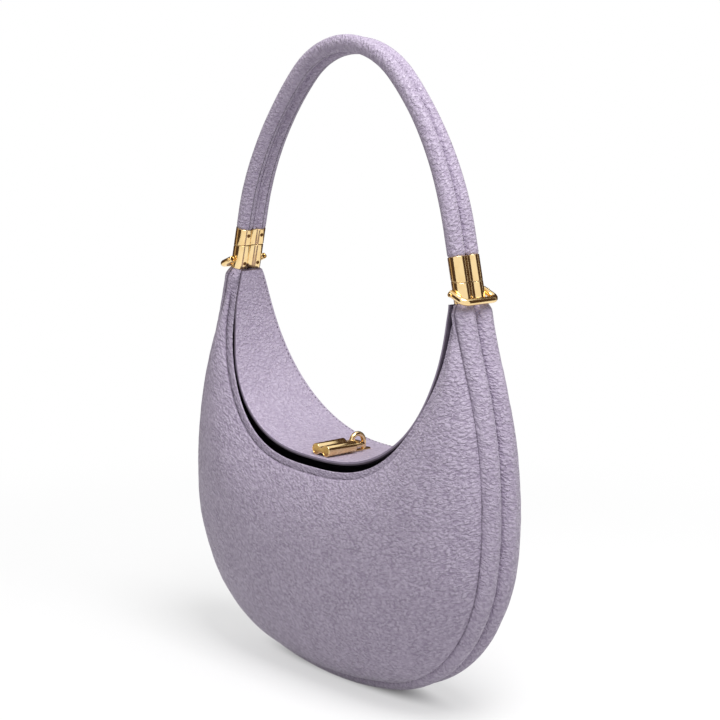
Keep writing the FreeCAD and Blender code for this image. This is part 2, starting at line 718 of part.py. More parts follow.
def make_plate(label, height):
    """Plate with round ends and two holes for the staple's legs."""
    body = new_body(label)
    sketch = sketch_on(body, "XY_Plane", label + "_profile")
    radius = size("plate_width") * HALF_SHARE
    run = size("plate_length") * HALF_SHARE - radius
    corners = [Vector(radius, -run, 0), Vector(radius, run, 0),
               Vector(-radius, run, 0), Vector(-radius, -run, 0)]
    sketch.addGeometry(Part.LineSegment(corners[0], corners[1]), False)
    sketch.addGeometry(arc_between(BACK * run, radius, 0, 180), False)
    sketch.addGeometry(Part.LineSegment(corners[2], corners[3]), False)
    sketch.addGeometry(arc_between(BACK * -run, radius, 180, 360), False)
    for sign in (-1, 1):
        spot = size("staple_middle") - size("plate_middle") + sign * size("staple_half_pitch")
        hole = Part.Circle(BACK * spot, UP, size("staple_radius") + size("fit_gap"))
        index = sketch.addGeometry(hole, False)
        rule = sketch.addConstraint(Sketcher.Constraint("Radius", index, hole.Radius))
        sketch.setExpression("Constraints[%d]" % rule, "sizes.staple_radius + sizes.fit_gap")
    pad = body.newObject("PartDesign::Pad", label + "_pad")
    pad.Profile = sketch
    bind(pad, Length="sizes.plate_thickness")
    body.Placement = Placement(Vector(0, size("plate_middle"), height), Rotation())
    keep(body, label)


def check_and_write():
    """Stop on any failed object, then write each sub-part to its own file."""
    doc.recompute()
    failed = [item.Name for item in doc.Objects if {"Invalid", "Error"} & set(item.State)]
    for piece in pieces:
        if piece.Shape.isNull() or not piece.Shape.isValid() or not piece.Shape.Solids:
            failed.append(piece.Label)
    if failed:
        raise RuntimeError("failed objects: " + ", ".join(failed))
    for piece in pieces:
        piece.Shape.exportStep("parts/%s.step" % piece.Label)
        print("%-24s %d solids %10.1f mm3" % (piece.Label, len(piece.Shape.Solids), piece.Shape.Volume))


make_rolls()
make_panels()
make_facing()
make_flap()
make_strap()
for side in ("left", "right"):
    for half in ("upper", "lower"):
        make_ferrule(side, half)
    make_ferrule_fittings(side)
    make_ring(side)
make_lock_body()
make_shackle()
make_staple()
make_plate("pull_plate", flap_top)
make_plate("pull_back_plate", flap_top - size("flap_thickness") - size("plate_thickness")
           - size("fit_gap"))
check_and_write()
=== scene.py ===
"""Half moon shoulder bag: leather, padding, gold fittings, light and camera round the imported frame.

Sizes are millimetres in the classes below, and become metres where a mesh is made. +X is to the right
of the front, +Y to the back and +Z up, as in the frame.
"""
import logging
import math
from dataclasses import dataclass, field
from enum import Enum
from typing import Optional, Sequence

import bmesh
import bpy
import numpy as np
from mathutils import Matrix, Vector, noise


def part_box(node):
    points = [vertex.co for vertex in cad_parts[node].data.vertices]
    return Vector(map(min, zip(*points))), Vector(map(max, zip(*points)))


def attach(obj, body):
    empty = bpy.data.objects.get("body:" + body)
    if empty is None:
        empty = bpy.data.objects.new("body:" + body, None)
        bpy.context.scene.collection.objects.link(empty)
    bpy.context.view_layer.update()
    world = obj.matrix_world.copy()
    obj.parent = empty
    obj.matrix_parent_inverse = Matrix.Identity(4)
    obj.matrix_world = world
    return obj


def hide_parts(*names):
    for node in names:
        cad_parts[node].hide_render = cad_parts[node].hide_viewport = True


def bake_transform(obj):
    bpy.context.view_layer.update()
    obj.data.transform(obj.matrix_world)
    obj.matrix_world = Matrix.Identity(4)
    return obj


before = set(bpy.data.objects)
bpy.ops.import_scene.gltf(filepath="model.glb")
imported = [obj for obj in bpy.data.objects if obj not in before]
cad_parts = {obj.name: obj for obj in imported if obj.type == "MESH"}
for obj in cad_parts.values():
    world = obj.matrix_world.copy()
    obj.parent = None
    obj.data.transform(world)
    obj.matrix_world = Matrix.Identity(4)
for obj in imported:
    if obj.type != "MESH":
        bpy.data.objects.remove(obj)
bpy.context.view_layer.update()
MM = 0.001
WELD_DISTANCE = 0.001 * MM
RIM_STEP = 0.002
OFF_AXIS = (0.31, 0.87, 0.39)
BACKWARD = np.array((0.0, 1.0, 0.0))
TINY = 1e-9
END_STEPS = 6
DIMPLE_EDGE, DIMPLE_FLOOR = 0.6, 0.5
TURN_POWER = 6
FOLD_BACK, FOLD_UP = 0.5, 0.866
VECTOR, NUMBER = "NodeSocketVector", "NodeSocketFloat"
LOG = logging.getLogger("half_moon_bag")

Colour = tuple[float, ...]


class Side(Enum):
    """Left or right side of the bag, with the sign of its X."""

    LEFT = -1
    RIGHT = 1


class End(Enum):
    """Front or back of the bag, with the sign of its Y."""

    FRONT = -1
    BACK = 1


@dataclass(frozen=True)
class MetalSurface:
    """How fine a metal's scratches are and how much they show."""

    scratches: float
    roughness: float
    scratch_roughness: float
    relief: float


class Look(Enum):
    """How a metal surface is finished."""

    POLISHED = MetalSurface(800.0, 0.09, 0.05, 0.006)
    BRUSHED = MetalSurface(1400.0, 0.24, 0.14, 0.02)


# Small helpers for numbers and meshes


def tone(red: int, green: int, blue: int) -> Colour:
    """Linear colour from screen values of 0 to 255."""
    shares = [value / 255 for value in (red, green, blue)]
    return tuple(s / 12.92 if s <= 0.04045 else ((s + 0.055) / 1.055) ** 2.4 for s in shares)


def ease(value: np.ndarray, low: float, high: float) -> np.ndarray:
    """Smooth step from 0 at low to 1 at high."""
    share = np.clip((value - low) / (high - low), 0, 1)
    return share * share * (3 - 2 * share)


def held_above(values: np.ndarray, floor: float) -> np.ndarray:
    """Values that turn softly into a floor instead of going below it."""
    return (values ** TURN_POWER + floor ** TURN_POWER) ** (1 / TURN_POWER)


def ripple(points: np.ndarray, seed: float) -> np.ndarray:
    """Smooth noise from about -1 to 1 at each point.

    Args:
        points: places in noise cells, three numbers in the last axis.
        seed: shift that gives each use a pattern of its own.

    Returns:
        One value for each point.
    """
    flat = points.reshape(-1, 3) + seed
    return np.array([noise.noise(Vector(p)) for p in flat]).reshape(points.shape[:-1])


def stacked(*columns: np.ndarray) -> np.ndarray:
    """Arrays, or numbers, as the last axis of one array."""
    return np.stack(np.broadcast_arrays(*columns), axis=-1).astype(float)


def unit(vectors: np.ndarray) -> np.ndarray:
    """Vectors in the last axis, each brought to a length of one."""
    return vectors / np.linalg.norm(vectors, axis=-1, keepdims=True)


def headings(line: np.ndarray) -> np.ndarray:
    """Direction of a line at each of its points."""
    return unit(np.gradient(line, axis=0))


def left_of(directions: np.ndarray) -> np.ndarray:
    """Directions in the XZ plane turned a quarter to the left, as points in space."""
    return stacked(-directions[:, 1], 0, directions[:, 0])


def distances(line: np.ndarray) -> np.ndarray:
    """Distance of each point of a line from its start, along the line."""
    return np.concatenate([[0], np.cumsum(np.linalg.norm(np.diff(line, axis=0), axis=-1))])


def rounding(radius: float, steps: int) -> list[tuple[float, float]]:
    """Quarter turn of a rounded edge, as distances from the end and from the side."""
    turns = np.linspace(math.pi / 2, 0, steps)
    return [(radius - radius * math.sin(t), radius - radius * math.cos(t)) for t in turns]


def box_mm(node: str) -> list[np.ndarray]:
    """Low and high corner of a node's box in millimetres."""
    return [np.array(corner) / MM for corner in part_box(node)]


def linked(name: str, data: Optional[bpy.types.ID]) -> bpy.types.Object:
    """New object in the scene.

    Args:
        name: name of the object.
        data: its mesh, light or camera.

    Returns:
        The object, at the origin.
    """
    thing = bpy.data.objects.new(name, data)
    bpy.context.collection.objects.link(thing)
    return thing


def loft(rings: np.ndarray) -> tuple[np.ndarray, list]:
    """Skin over a row of closed rings, with a face on each end.

    Args:
        rings: points as rows of rings, in millimetres.

    Returns:
        The points, and the faces as tuples of point numbers.
    """
    rows, columns = rings.shape[:2]
    numbers = np.arange(rows * columns).reshape(rows, columns)
    across = np.roll(numbers, -1, axis=1)
    below = np.roll(numbers, -1, axis=0)
    beyond = np.roll(across, -1, axis=0)
    quads = np.stack([numbers, across, beyond, below], axis=-1)[:-1].reshape(-1, 4)
    faces = [tuple(quad) for quad in quads.tolist()]
    faces += [tuple(numbers[0][::-1].tolist()), tuple(numbers[-1].tolist())]
    return rings.reshape(-1, 3), faces


def piece(name: str, points: np.ndarray, faces: Sequence, finish: bpy.types.Material,
          sharp: float = 40) -> bpy.types.Object:
    """Closed mesh object with outward faces and smooth shading.

    Args:
        name: name of the piece.
        points: places in millimetres.
        faces: point numbers of each face.
        finish: material of the whole piece.
        sharp: angle in degrees past which an edge stays sharp.

    Returns:
        The new object, at the origin.
    """
    mesh = bpy.data.meshes.new(name)
    mesh.from_pydata((np.asarray(points) * MM).tolist(), [], faces)
    shape = bmesh.new()
    shape.from_mesh(mesh)
    bmesh.ops.remove_doubles(shape, verts=shape.verts, dist=WELD_DISTANCE)
    bmesh.ops.recalc_face_normals(shape, faces=shape.faces)
    shape.to_mesh(mesh)
    shape.free()
    mesh.shade_smooth()
    mesh.set_sharp_from_angle(angle=math.radians(sharp))
    mesh.materials.append(finish)
    return linked(name, mesh)


def give_uv(thing: bpy.types.Object, places: np.ndarray) -> None:
    """Lay a map in metres over a mesh.

    Args:
        thing: piece whose points kept their order.
        places: pairs of numbers in millimetres, point by point.
    """
    layer = thing.data.uv_layers.new(name="along_and_round")
    corners = np.empty(len(thing.data.loops), int)
    thing.data.loops.foreach_get("vertex_index", corners)
    layer.data.foreach_set("uv", (places.reshape(-1, 2)[corners] * MM).ravel())


def paint_seam_shade(thing: bpy.types.Object, shares: np.ndarray) -> None:
    """Note how close to a seam each point lies, for the painted shade that darkens the leather there.

    Args:
        thing: piece whose points kept their order.
        shares: 1 in the seam and 0 away from it, point by point.
    """
    if len(thing.data.vertices) != shares.size:
        LOG.warning("%s has %d points for %d seam marks", thing.name, len(thing.data.vertices),
                    shares.size)
        return
    # The seam attribute holds the strength of the painted seam shade.
    shade_marks = thing.data.attributes.new("seam", "FLOAT", "POINT")
    shade_marks.data.foreach_set("value", shares.astype(np.float32).ravel())


def placed(points: np.ndarray, matrix: Matrix) -> np.ndarray:
    """Points moved by a matrix."""
    turn = np.array(matrix.to_3x3())
    return points @ turn.T + np.array(matrix.translation)


def sweep(line: np.ndarray, radius: float, edge: float = 0.3, recess: float = 0.0,
          segments: int = 28) -> tuple[np.ndarray, list]:
    """Round bar along a line, with rounded edges at its flat ends.

    Args:
        line: points of the centre line in millimetres.
        radius: radius of the bar.
        edge: rounding of the ends.
        recess: depth of a dimple in the middle of each end.
        segments: points round the bar.

    Returns:
        Points and faces.
    """
    heads = headings(line)
    rights = [unit(np.cross(heads[0], OFF_AXIS))]
    for head in heads[1:]:
        rights.append(unit(rights[-1] - head * np.dot(rights[-1], head)))
    rights = np.array(rights)
    ups = np.cross(heads, rights)
    round_about = np.linspace(0, 2 * math.pi, segments, endpoint=False)
    spokes = (rights[:, None] * np.cos(round_about)[None, :, None]
              + ups[:, None] * np.sin(round_about)[None, :, None])
    rings = [line[k] + radius * spokes[k] for k in range(1, len(line) - 1)]
    for t in np.linspace(0, math.pi / 2, END_STEPS):
        inside, narrow = edge * (1 - math.sin(t)), radius - edge * (1 - math.cos(t))
        rings.insert(0, line[0] + heads[0] * inside + narrow * spokes[0])
        rings.append(line[-1] - heads[-1] * inside + narrow * spokes[-1])
    for inside, share in ((0.0, DIMPLE_EDGE), (recess, DIMPLE_FLOOR)) if recess else ():
        rings.insert(0, line[0] + heads[0] * inside + share * radius * spokes[0])
        rings.append(line[-1] - heads[-1] * inside + share * radius * spokes[-1])
    return loft(np.array(rings))


def bent_line(corners: Sequence[Sequence[float]], bend: float, steps: int = 8) -> np.ndarray:
    """Line through corners that are rounded with one radius.

    Args:
        corners: points of the line before rounding.
        bend: radius of each bend.
        steps: points on each bend.

    Returns:
        Points along the rounded line.
    """
    points = [np.array(corner, float) for corner in corners]
    line = [points[0]]
    for before, corner, after in zip(points, points[1:], points[2:]):
        back, ahead = unit(before - corner), unit(after - corner)
        half = math.acos(np.clip(np.dot(back, ahead), -1, 1)) / 2
        middle, side = unit(back + ahead), unit(ahead - back)
        centre = corner + middle * bend / math.sin(half)
        reach = math.pi / 2 - half
        for share in np.linspace(-1, 1, steps):
            turn = share * reach
            line.append(centre + bend * (side * math.sin(turn) - middle * math.cos(turn)))
    line.append(points[-1])
    return np.array(line)


def two_lobes(radius: float, pitch: float, blend: float, inset: float, steps: int = 20) -> np.ndarray:
    """Outline of two circles side by side with a hollow waist between them.

    Args:
        radius: radius of each circle.
        pitch: distance of each circle's centre from the middle.
        blend: radius of the hollow that joins the circles.
        inset: how far inside the outline the points lie.
        steps: points on each of the four arcs.

    Returns:
        Pairs of numbers: along the line of the two centres, and across it.
    """
    height = math.sqrt((radius + blend) ** 2 - pitch ** 2)
    lean = math.atan2(height, pitch)
    round_about = np.linspace(lean - math.pi, math.pi - lean, 2 * steps, endpoint=False)
    hollow = np.linspace(-lean, lean - math.pi, steps, endpoint=False)
    lobe = stacked(pitch + (radius - inset) * np.cos(round_about), (radius - inset) * np.sin(round_about))
    waist = stacked((blend + inset) * np.cos(hollow), height + (blend + inset) * np.sin(hollow))
    half = np.vstack([lobe, waist])
    return np.vstack([half, -half])


class Trail:
    """Chain of tangent lines and arcs in the XZ plane."""

    def __init__(self, x: float, z: float, heading: float) -> None:
        """Start a trail with nothing on it.

        Args:
            x: X of the start.
            z: Z of the start.
            heading: first direction, in degrees from +X.
        """
        self.runs: list[tuple[float, float, float, float, float]] = []
        self.end = (x, z, math.radians(heading))
        self.length = 0.0

    def _add(self, length: float, curvature: float) -> "Trail":
        """Add a stretch of one curvature.

        Args:
            length: length of the stretch.
            curvature: one over its radius, positive to the left, or 0 for a straight.

        Returns:
            The trail.
        """
        x, z, heading = self.end
        self.runs.append((self.length, x, z, heading, curvature))
        self.end = self._along((0.0, x, z, heading, curvature), length)
        self.length += length
        return self

    @staticmethod
    def _along(run: tuple, distance: float) -> tuple[float, float, float]:
        """Point and heading along one stretch.

        Args:
            run: the stretch, as it is kept in runs.
            distance: distance from the start of the stretch.

        Returns:
            X, Z and the heading in radians.
        """
        _, x, z, heading, curvature = run
        if abs(curvature) < TINY:
            return x + distance * math.cos(heading), z + distance * math.sin(heading), heading
        turned = heading + distance * curvature
        return (x + (math.sin(turned) - math.sin(heading)) / curvature,
                z - (math.cos(turned) - math.cos(heading)) / curvature, turned)

    def line(self, length: float) -> "Trail":
        """Add a straight stretch."""
        return self._add(length, 0.0)

    def arc(self, radius: float, turn: float) -> "Trail":
        """Add a bend, to the left for a positive turn in degrees."""
        return self._add(radius * math.radians(abs(turn)), math.copysign(1 / radius, turn))

    def at(self, distance: float) -> tuple[float, float]:
        """X and Z at a distance from the start."""
        run = [candidate for candidate in self.runs if candidate[0] <= distance + TINY][-1]
        return self._along(run, distance - run[0])[:2]

    def both_halves(self, step: float, from_middle: bool) -> np.ndarray:
        """Evenly spaced points of the trail and its mirror image, from left to right.

        Args:
            step: spacing of the points.
            from_middle: whether the trail starts at the middle plane.

        Returns:
            Rows of X and Z.
        """
        count = math.ceil(self.length / step)
        half = np.array([self.at(share * self.length) for share in np.linspace(0, 1, count + 1)])
        if not from_middle:
            half = half[::-1]
        return np.vstack([half[:0:-1] * (-1, 1), half])


# Shared shader groups


def new_group(name: str, inputs: dict[str, tuple[str, object]], outputs: dict[str, str]
              ) -> tuple[bpy.types.NodeTree, bpy.types.Node, bpy.types.Node]:
    """Empty shader group with named sockets.

    Args:
        name: name of the group.
        inputs: socket type and default for each input.
        outputs: socket type for each output.

    Returns:
        The group's tree, its input node and its output node.
    """
    tree = bpy.data.node_groups.new(name, "ShaderNodeTree")
    for label, (kind, default) in inputs.items():
        socket = tree.interface.new_socket(name=label, in_out="INPUT", socket_type=kind)
        if default is not None:
            socket.default_value = default
    for label, kind in outputs.items():
        tree.interface.new_socket(name=label, in_out="OUTPUT", socket_type=kind)
    return tree, tree.nodes.new("NodeGroupInput"), tree.nodes.new("NodeGroupOutput")


class Wiring:
    """Short calls for adding and linking nodes of one tree."""

    def __init__(self, tree: bpy.types.NodeTree) -> None:
        """Keep the tree that nodes are added to."""
        self.tree = tree

    def node(self, kind: str, settings: Optional[dict] = None, **inputs: object) -> bpy.types.Node:
        """Add a node.

        Args:
            kind: Blender's name of the node type.
            settings: properties of the node.
            inputs: values or output sockets for inputs, where _ in a name stands for a space.

        Returns:
            The new node.
        """
        made = self.tree.nodes.new(kind)
        for name, value in (settings or {}).items():
            setattr(made, name, value)
        self.fill(made, **inputs)
        return made

    def fill(self, made: bpy.types.Node, **inputs: object) -> None:
        """Feed inputs of a node by name, where _ in a name stands for a space."""
        for name, value in inputs.items():
            self.feed(made.inputs[name.replace("_", " ")], value)

    def place(self) -> bpy.types.NodeSocket:
        """Coordinates on the object."""
        return self.node("ShaderNodeTexCoord").outputs["Object"]

    def length(self, vector: object) -> bpy.types.NodeSocket:
        """Length of a vector."""
        return self.node("ShaderNodeVectorMath", {"operation": "LENGTH"}, Vector=vector).outputs["Value"]

    def feed(self, socket: bpy.types.NodeSocket, value: object) -> None:
        """Link an output to a socket, or set its value.

        Args:
            socket: the input.
            value: an output socket, or a plain value.
        """
        if isinstance(value, bpy.types.NodeSocket):
            self.tree.links.new(value, socket)
        else:
            socket.default_value = value

    def sum(self, operation: str, first: object, second: object = 0.0, third: object = 0.0,
            clamp: bool = False) -> bpy.types.NodeSocket:
        """Result of one Math node.

        Args:
            operation: Blender's name of the operation.
            first: first number or socket.
            second: second number or socket.
            third: third number or socket.
            clamp: whether the result is kept from 0 to 1.

        Returns:
            The result.
        """
        made = self.tree.nodes.new("ShaderNodeMath")
        made.operation = operation
        made.use_clamp = clamp
        for socket, value in zip(made.inputs, (first, second, third)):
            self.feed(socket, value)
        return made.outputs[0]

    def step(self, value: object, low: float, high: float) -> bpy.types.NodeSocket:
        """Smooth step of a value.

        Args:
            value: number or socket.
            low: where the step is 0.
            high: where the step is 1.

        Returns:
            The step.
        """
        made = self.node("ShaderNodeMapRange", {"interpolation_type": "SMOOTHSTEP"}, Value=value)
        made.inputs["From Min"].default_value = low
        made.inputs["From Max"].default_value = high
        return made.outputs["Result"]

    def blend(self, share: object, first: object, second: object) -> bpy.types.NodeSocket:
        """Colour between two colours.

        Args:
            share: 0 for the first colour and 1 for the second.
            first: colour or socket.
            second: colour or socket.

        Returns:
            The colour.
        """
        made = self.node("ShaderNodeMix", {"data_type": "RGBA"})
        self.feed(made.inputs[0], share)
        for socket, value in ((made.inputs[6], first), (made.inputs[7], second)):
            self.feed(socket, (*value, 1.0) if isinstance(value, tuple) else value)
        return made.outputs[2]

    def shift(self, vector: object, offset: object, amount: float) -> bpy.types.NodeSocket:
        """Vector pushed about by a colour noise.

        Args:
            vector: the vector.
            offset: colour of a noise, centred on a half.
            amount: how far the noise pushes.

        Returns:
            The pushed vector.
        """
        centred = self.tree.nodes.new("ShaderNodeVectorMath")
        centred.operation = "SUBTRACT"
        self.feed(centred.inputs[0], offset)
        centred.inputs[1].default_value = (0.5, 0.5, 0.5)
        moved = self.tree.nodes.new("ShaderNodeVectorMath")
        moved.operation = "MULTIPLY_ADD"
        self.feed(moved.inputs[0], centred.outputs[0])
        moved.inputs[1].default_value = (amount, amount, amount)
        self.feed(moved.inputs[2], vector)
        return moved.outputs[0]

    def noise(self, vector: object, scale: object, detail: float, **inputs: object) -> bpy.types.Node:
        """Noise node at a scale."""
        return self.node("ShaderNodeTexNoise", Vector=vector, Scale=scale, Detail=detail, **inputs)


def leather_grain_group() -> bpy.types.NodeTree:
    """Pebbles, creases and pores of grained leather.

    Returns:
        The group, with a height and masks as its outputs.
    """
    tree, entry, out = new_group(
        "leather_grain",
        {"Vector": (VECTOR, None), "Pebble Vector": (VECTOR, None), "Crease Vector": (VECTOR, None),
         "Pebbles": (NUMBER, 420.0), "Creases": (NUMBER, 420.0), "Crease Depth": (NUMBER, 0.6)},
        {"Height": NUMBER, "Valley": NUMBER, "Patch": NUMBER})
    warp_scale, crease_warp_scale, patch_scale, break_scale, pore_scale = 300.0, 170.0, 38.0, 60.0, 1300.0
    pebble_span, furrow_span, break_span, cell_softness = (0.3, 0.66), (0.36, 0.6), (0.3, 0.65), 0.15
    pebble_push, crease_push = 0.0016, 0.0028
    unbroken, pebble_drop, pore_rise = 0.65, -0.5, 0.12
    pebble_shade, crease_shade = 0.4, 0.8
    wires = Wiring(tree)
    place, stretched = entry.outputs["Vector"], entry.outputs["Crease Vector"]
    warp = wires.noise(place, warp_scale, 2.0)
    pushed = wires.shift(entry.outputs["Pebble Vector"], warp.outputs["Color"], pebble_push)
    cells = wires.node("ShaderNodeTexVoronoi", {"feature": "SMOOTH_F1"}, Vector=pushed,
                       Scale=entry.outputs["Pebbles"], Smoothness=cell_softness)
    low = wires.step(cells.outputs["Distance"], *pebble_span)
    crease_warp = wires.noise(place, crease_warp_scale, 2.0)
    crease_place = wires.shift(stretched, crease_warp.outputs["Color"], crease_push)
    lines = wires.noise(crease_place, entry.outputs["Creases"], 1.0)
    furrow = wires.sum("SUBTRACT", 1.0, wires.step(lines.outputs["Fac"], *furrow_span))
    patches = wires.noise(place, patch_scale, 3.0)
    breaks = wires.noise(place, break_scale, 2.0)
    broken = wires.step(breaks.outputs["Fac"], *break_span)
    share = wires.sum("MULTIPLY_ADD", broken, 1 - unbroken, unbroken)
    fold_loss = wires.sum("MULTIPLY", wires.sum("MULTIPLY", furrow, share), entry.outputs["Crease Depth"])
    pores = wires.noise(place, pore_scale, 2.0)
    body = wires.sum("MULTIPLY_ADD", low, pebble_drop,
                     wires.sum("MULTIPLY", pores.outputs["Fac"], pore_rise))
    height = wires.sum("SUBTRACT", body, fold_loss)
    # Painted shade mask: darker between pebbles and in creases; it also roughens them.
    valley = wires.sum("MULTIPLY_ADD", low, pebble_shade,
                       wires.sum("MULTIPLY", fold_loss, crease_shade), clamp=True)
    wires.feed(out.inputs["Height"], height)
    wires.feed(out.inputs["Valley"], valley)
    wires.feed(out.inputs["Patch"], patches.outputs["Fac"])
    return tree


def fine_wear_group() -> bpy.types.NodeTree:
    """Hairline scratches and smudges of handled metal and paint.

    Returns:
        The group, with a mask of each as its outputs.
    """
    tree, entry, out = new_group(
        "fine_wear", {"Vector": (VECTOR, None), "Scratches": (NUMBER, 700.0), "Smudges": (NUMBER, 120.0)},
        {"Scratch": NUMBER, "Smudge": NUMBER})
    hair_length, hair_roughness, hair_span = (1.0, 0.06, 1.0), 0.7, (0.45, 0.75)
    wires = Wiring(tree)
    place = entry.outputs["Vector"]
    stretch = wires.node("ShaderNodeMapping", Vector=place, Scale=hair_length)
    hair = wires.noise(stretch.outputs[0], entry.outputs["Scratches"], 4.0, Roughness=hair_roughness)
    smear = wires.noise(place, entry.outputs["Smudges"], 4.0)
    wires.feed(out.inputs["Scratch"], wires.step(hair.outputs["Fac"], *hair_span))
    wires.feed(out.inputs["Smudge"], smear.outputs["Fac"])
    return tree


class Groups:
    """Shader groups that several finishes share, built once."""

    grain: bpy.types.NodeTree = leather_grain_group()
    wear: bpy.types.NodeTree = fine_wear_group()


def new_material(name: str) -> tuple[bpy.types.Material, Wiring, bpy.types.Node]:
    """Material with a Principled shader.

    Args:
        name: name of the material.

    Returns:
        The material, its wiring and the shader node.
    """
    material = bpy.data.materials.new(name)
    material.use_nodes = True
    return material, Wiring(material.node_tree), material.node_tree.nodes["Principled BSDF"]


def bumped(wires: Wiring, height: bpy.types.NodeSocket, strength: float,
           depth: float) -> bpy.types.NodeSocket:
    """Normal from a height.

    Args:
        wires: wiring of the material.
        height: height over the surface.
        strength: share of the bump that shows.
        depth: depth of the relief in millimetres.

    Returns:
        The normal.
    """
    bump = wires.node("ShaderNodeBump", Height=height, Strength=strength, Distance=depth * MM)
    return bump.outputs["Normal"]


@dataclass(frozen=True)
class LeatherFinish:
    """Pebbled leather with creases, sheen and painted shade in its valleys."""

    name: str
    colour: Colour = tone(196, 184, 205)
    # Colour of the painted shade between pebbles and in creases.
    valley: Colour = tone(152, 137, 163)
    warm: Colour = tone(193, 181, 202)
    # Colour of the painted shade in seams, across the panel's lip and on its inner wall.
    seam: Colour = tone(92, 78, 100)
    pebbles: float = 420.0
    creases: float = 700.0
    crease_depth: float = 0.62
    crease_scale: tuple[float, float, float] = (0.58, 0.58, 1.0)
    crease_turn: float = 0.0
    crease_bow: float = 0.0
    follows_map: bool = False
    calm_place: float = 0.06
    patch_span: tuple[float, float] = (0.3, 0.7)
    relief: float = 0.62
    roughness: float = 0.46
    valley_roughness: float = 0.14
    valley_shade: float = 0.85
    sheen: float = 0.15
    sheen_roughness: float = 0.45
    specular: float = 0.45

    def material(self) -> bpy.types.Material:
        """Build the finish.

        Returns:
            The material.
        """
        material, wires, shader = new_material(self.name)
        places = wires.node("ShaderNodeTexCoord")
        source = places.outputs["UV" if self.follows_map else "Object"]
        turn = math.radians(self.crease_turn)
        turns = (0.0, 0.0, turn) if self.follows_map else (0.0, turn, 0.0)
        turned = wires.node("ShaderNodeMapping", Vector=source, Rotation=turns)
        parts = wires.node("ShaderNodeSeparateXYZ", Vector=turned.outputs[0])
        from_calm = wires.sum("SUBTRACT", parts.outputs["X"], self.calm_place)
        bowed = wires.sum("MULTIPLY", wires.sum("MULTIPLY", from_calm, from_calm), self.crease_bow)
        joined = wires.node("ShaderNodeCombineXYZ", X=parts.outputs["X"], Y=parts.outputs["Y"],
                            Z=wires.sum("SUBTRACT", parts.outputs["Z"], bowed))
        stretched = wires.node("ShaderNodeMapping", Vector=joined.outputs[0], Scale=self.crease_scale)
        half_way = [(1 + share) / 2 for share in self.crease_scale]
        eased = wires.node("ShaderNodeMapping", Vector=joined.outputs[0], Scale=half_way)
        grain = wires.node("ShaderNodeGroup", {"node_tree": Groups.grain}, Vector=places.outputs["Object"],
                           Pebble_Vector=eased.outputs[0], Crease_Vector=stretched.outputs[0],
                           Pebbles=self.pebbles, Creases=self.creases, Crease_Depth=self.crease_depth)
        ground = wires.blend(wires.step(grain.outputs["Patch"], *self.patch_span), self.colour, self.warm)
        # How much painted valley shade each spot gets.
        shade = wires.sum("MULTIPLY", grain.outputs["Valley"], self.valley_shade)
        # Painted seam shade: the seam attribute mixes the dark seam colour into the leather below.
        seam = wires.node("ShaderNodeAttribute", {"attribute_name": "seam"})
        leather = wires.blend(shade, ground, self.valley)
        rough = wires.sum("MULTIPLY_ADD", grain.outputs["Valley"], self.valley_roughness, self.roughness)
        wires.fill(shader, Base_Color=wires.blend(seam.outputs["Fac"], leather, self.seam), Roughness=rough,
                   Sheen_Weight=self.sheen, Sheen_Roughness=self.sheen_roughness,
                   Specular_IOR_Level=self.specular,
                   Normal=bumped(wires, grain.outputs["Height"], 1.0, self.relief))
        return material


@dataclass(frozen=True)
class PaintFinish:
    """Smooth painted leather edge."""

    name: str
    colour: Colour
    rub: Colour
    scratches: float = 500.0
    smudges: float = 160.0
    rub_share: float = 0.6
    rub_span: tuple[float, float] = (0.45, 0.75)
    roughness: float = 0.36
    smudge_roughness: float = 0.2
    bump: float = 0.4
    relief: float = 0.15

    def material(self) -> bpy.types.Material:
        """Build the finish.

        Returns:
            The material.
        """
        material, wires, shader = new_material(self.name)
        wear = wires.node("ShaderNodeGroup", {"node_tree": Groups.wear}, Vector=wires.place(),
                          Scratches=self.scratches, Smudges=self.smudges)
        smudge = wear.outputs["Smudge"]
        rubbed = wires.sum("MULTIPLY", wires.step(smudge, *self.rub_span), self.rub_share)
        wires.fill(shader, Base_Color=wires.blend(rubbed, self.colour, self.rub),
                   Roughness=wires.sum("MULTIPLY_ADD", smudge, self.smudge_roughness, self.roughness),
                   Normal=bumped(wires, smudge, self.bump, self.relief))
        return material


@dataclass(frozen=True)
class MetalFinish:
    """Plated metal, polished or brushed."""

    name: str
    colour: Colour
    tint: Colour
    look: Look = Look.POLISHED
    smudges: float = 140.0
    smudge_span: tuple[float, float] = (0.35, 0.75)
    smudge_roughness: float = 0.05
    bump: float = 0.5

    def material(self) -> bpy.types.Material:
        """Build the finish.

        Returns:
            The material.
        """
        material, wires, shader = new_material(self.name)
        surface = self.look.value
        wear = wires.node("ShaderNodeGroup", {"node_tree": Groups.wear}, Vector=wires.place(),
                          Scratches=surface.scratches, Smudges=self.smudges)
        scratch = wear.outputs["Scratch"]
        smudge = wires.step(wear.outputs["Smudge"], *self.smudge_span)
        rough = wires.sum("MULTIPLY_ADD", scratch, surface.scratch_roughness, surface.roughness)
        wires.fill(shader, Metallic=1.0, Base_Color=wires.blend(smudge, self.colour, self.tint),
                   Roughness=wires.sum("MULTIPLY_ADD", smudge, self.smudge_roughness, rough),
                   Normal=bumped(wires, scratch, self.bump, surface.relief))
        return material


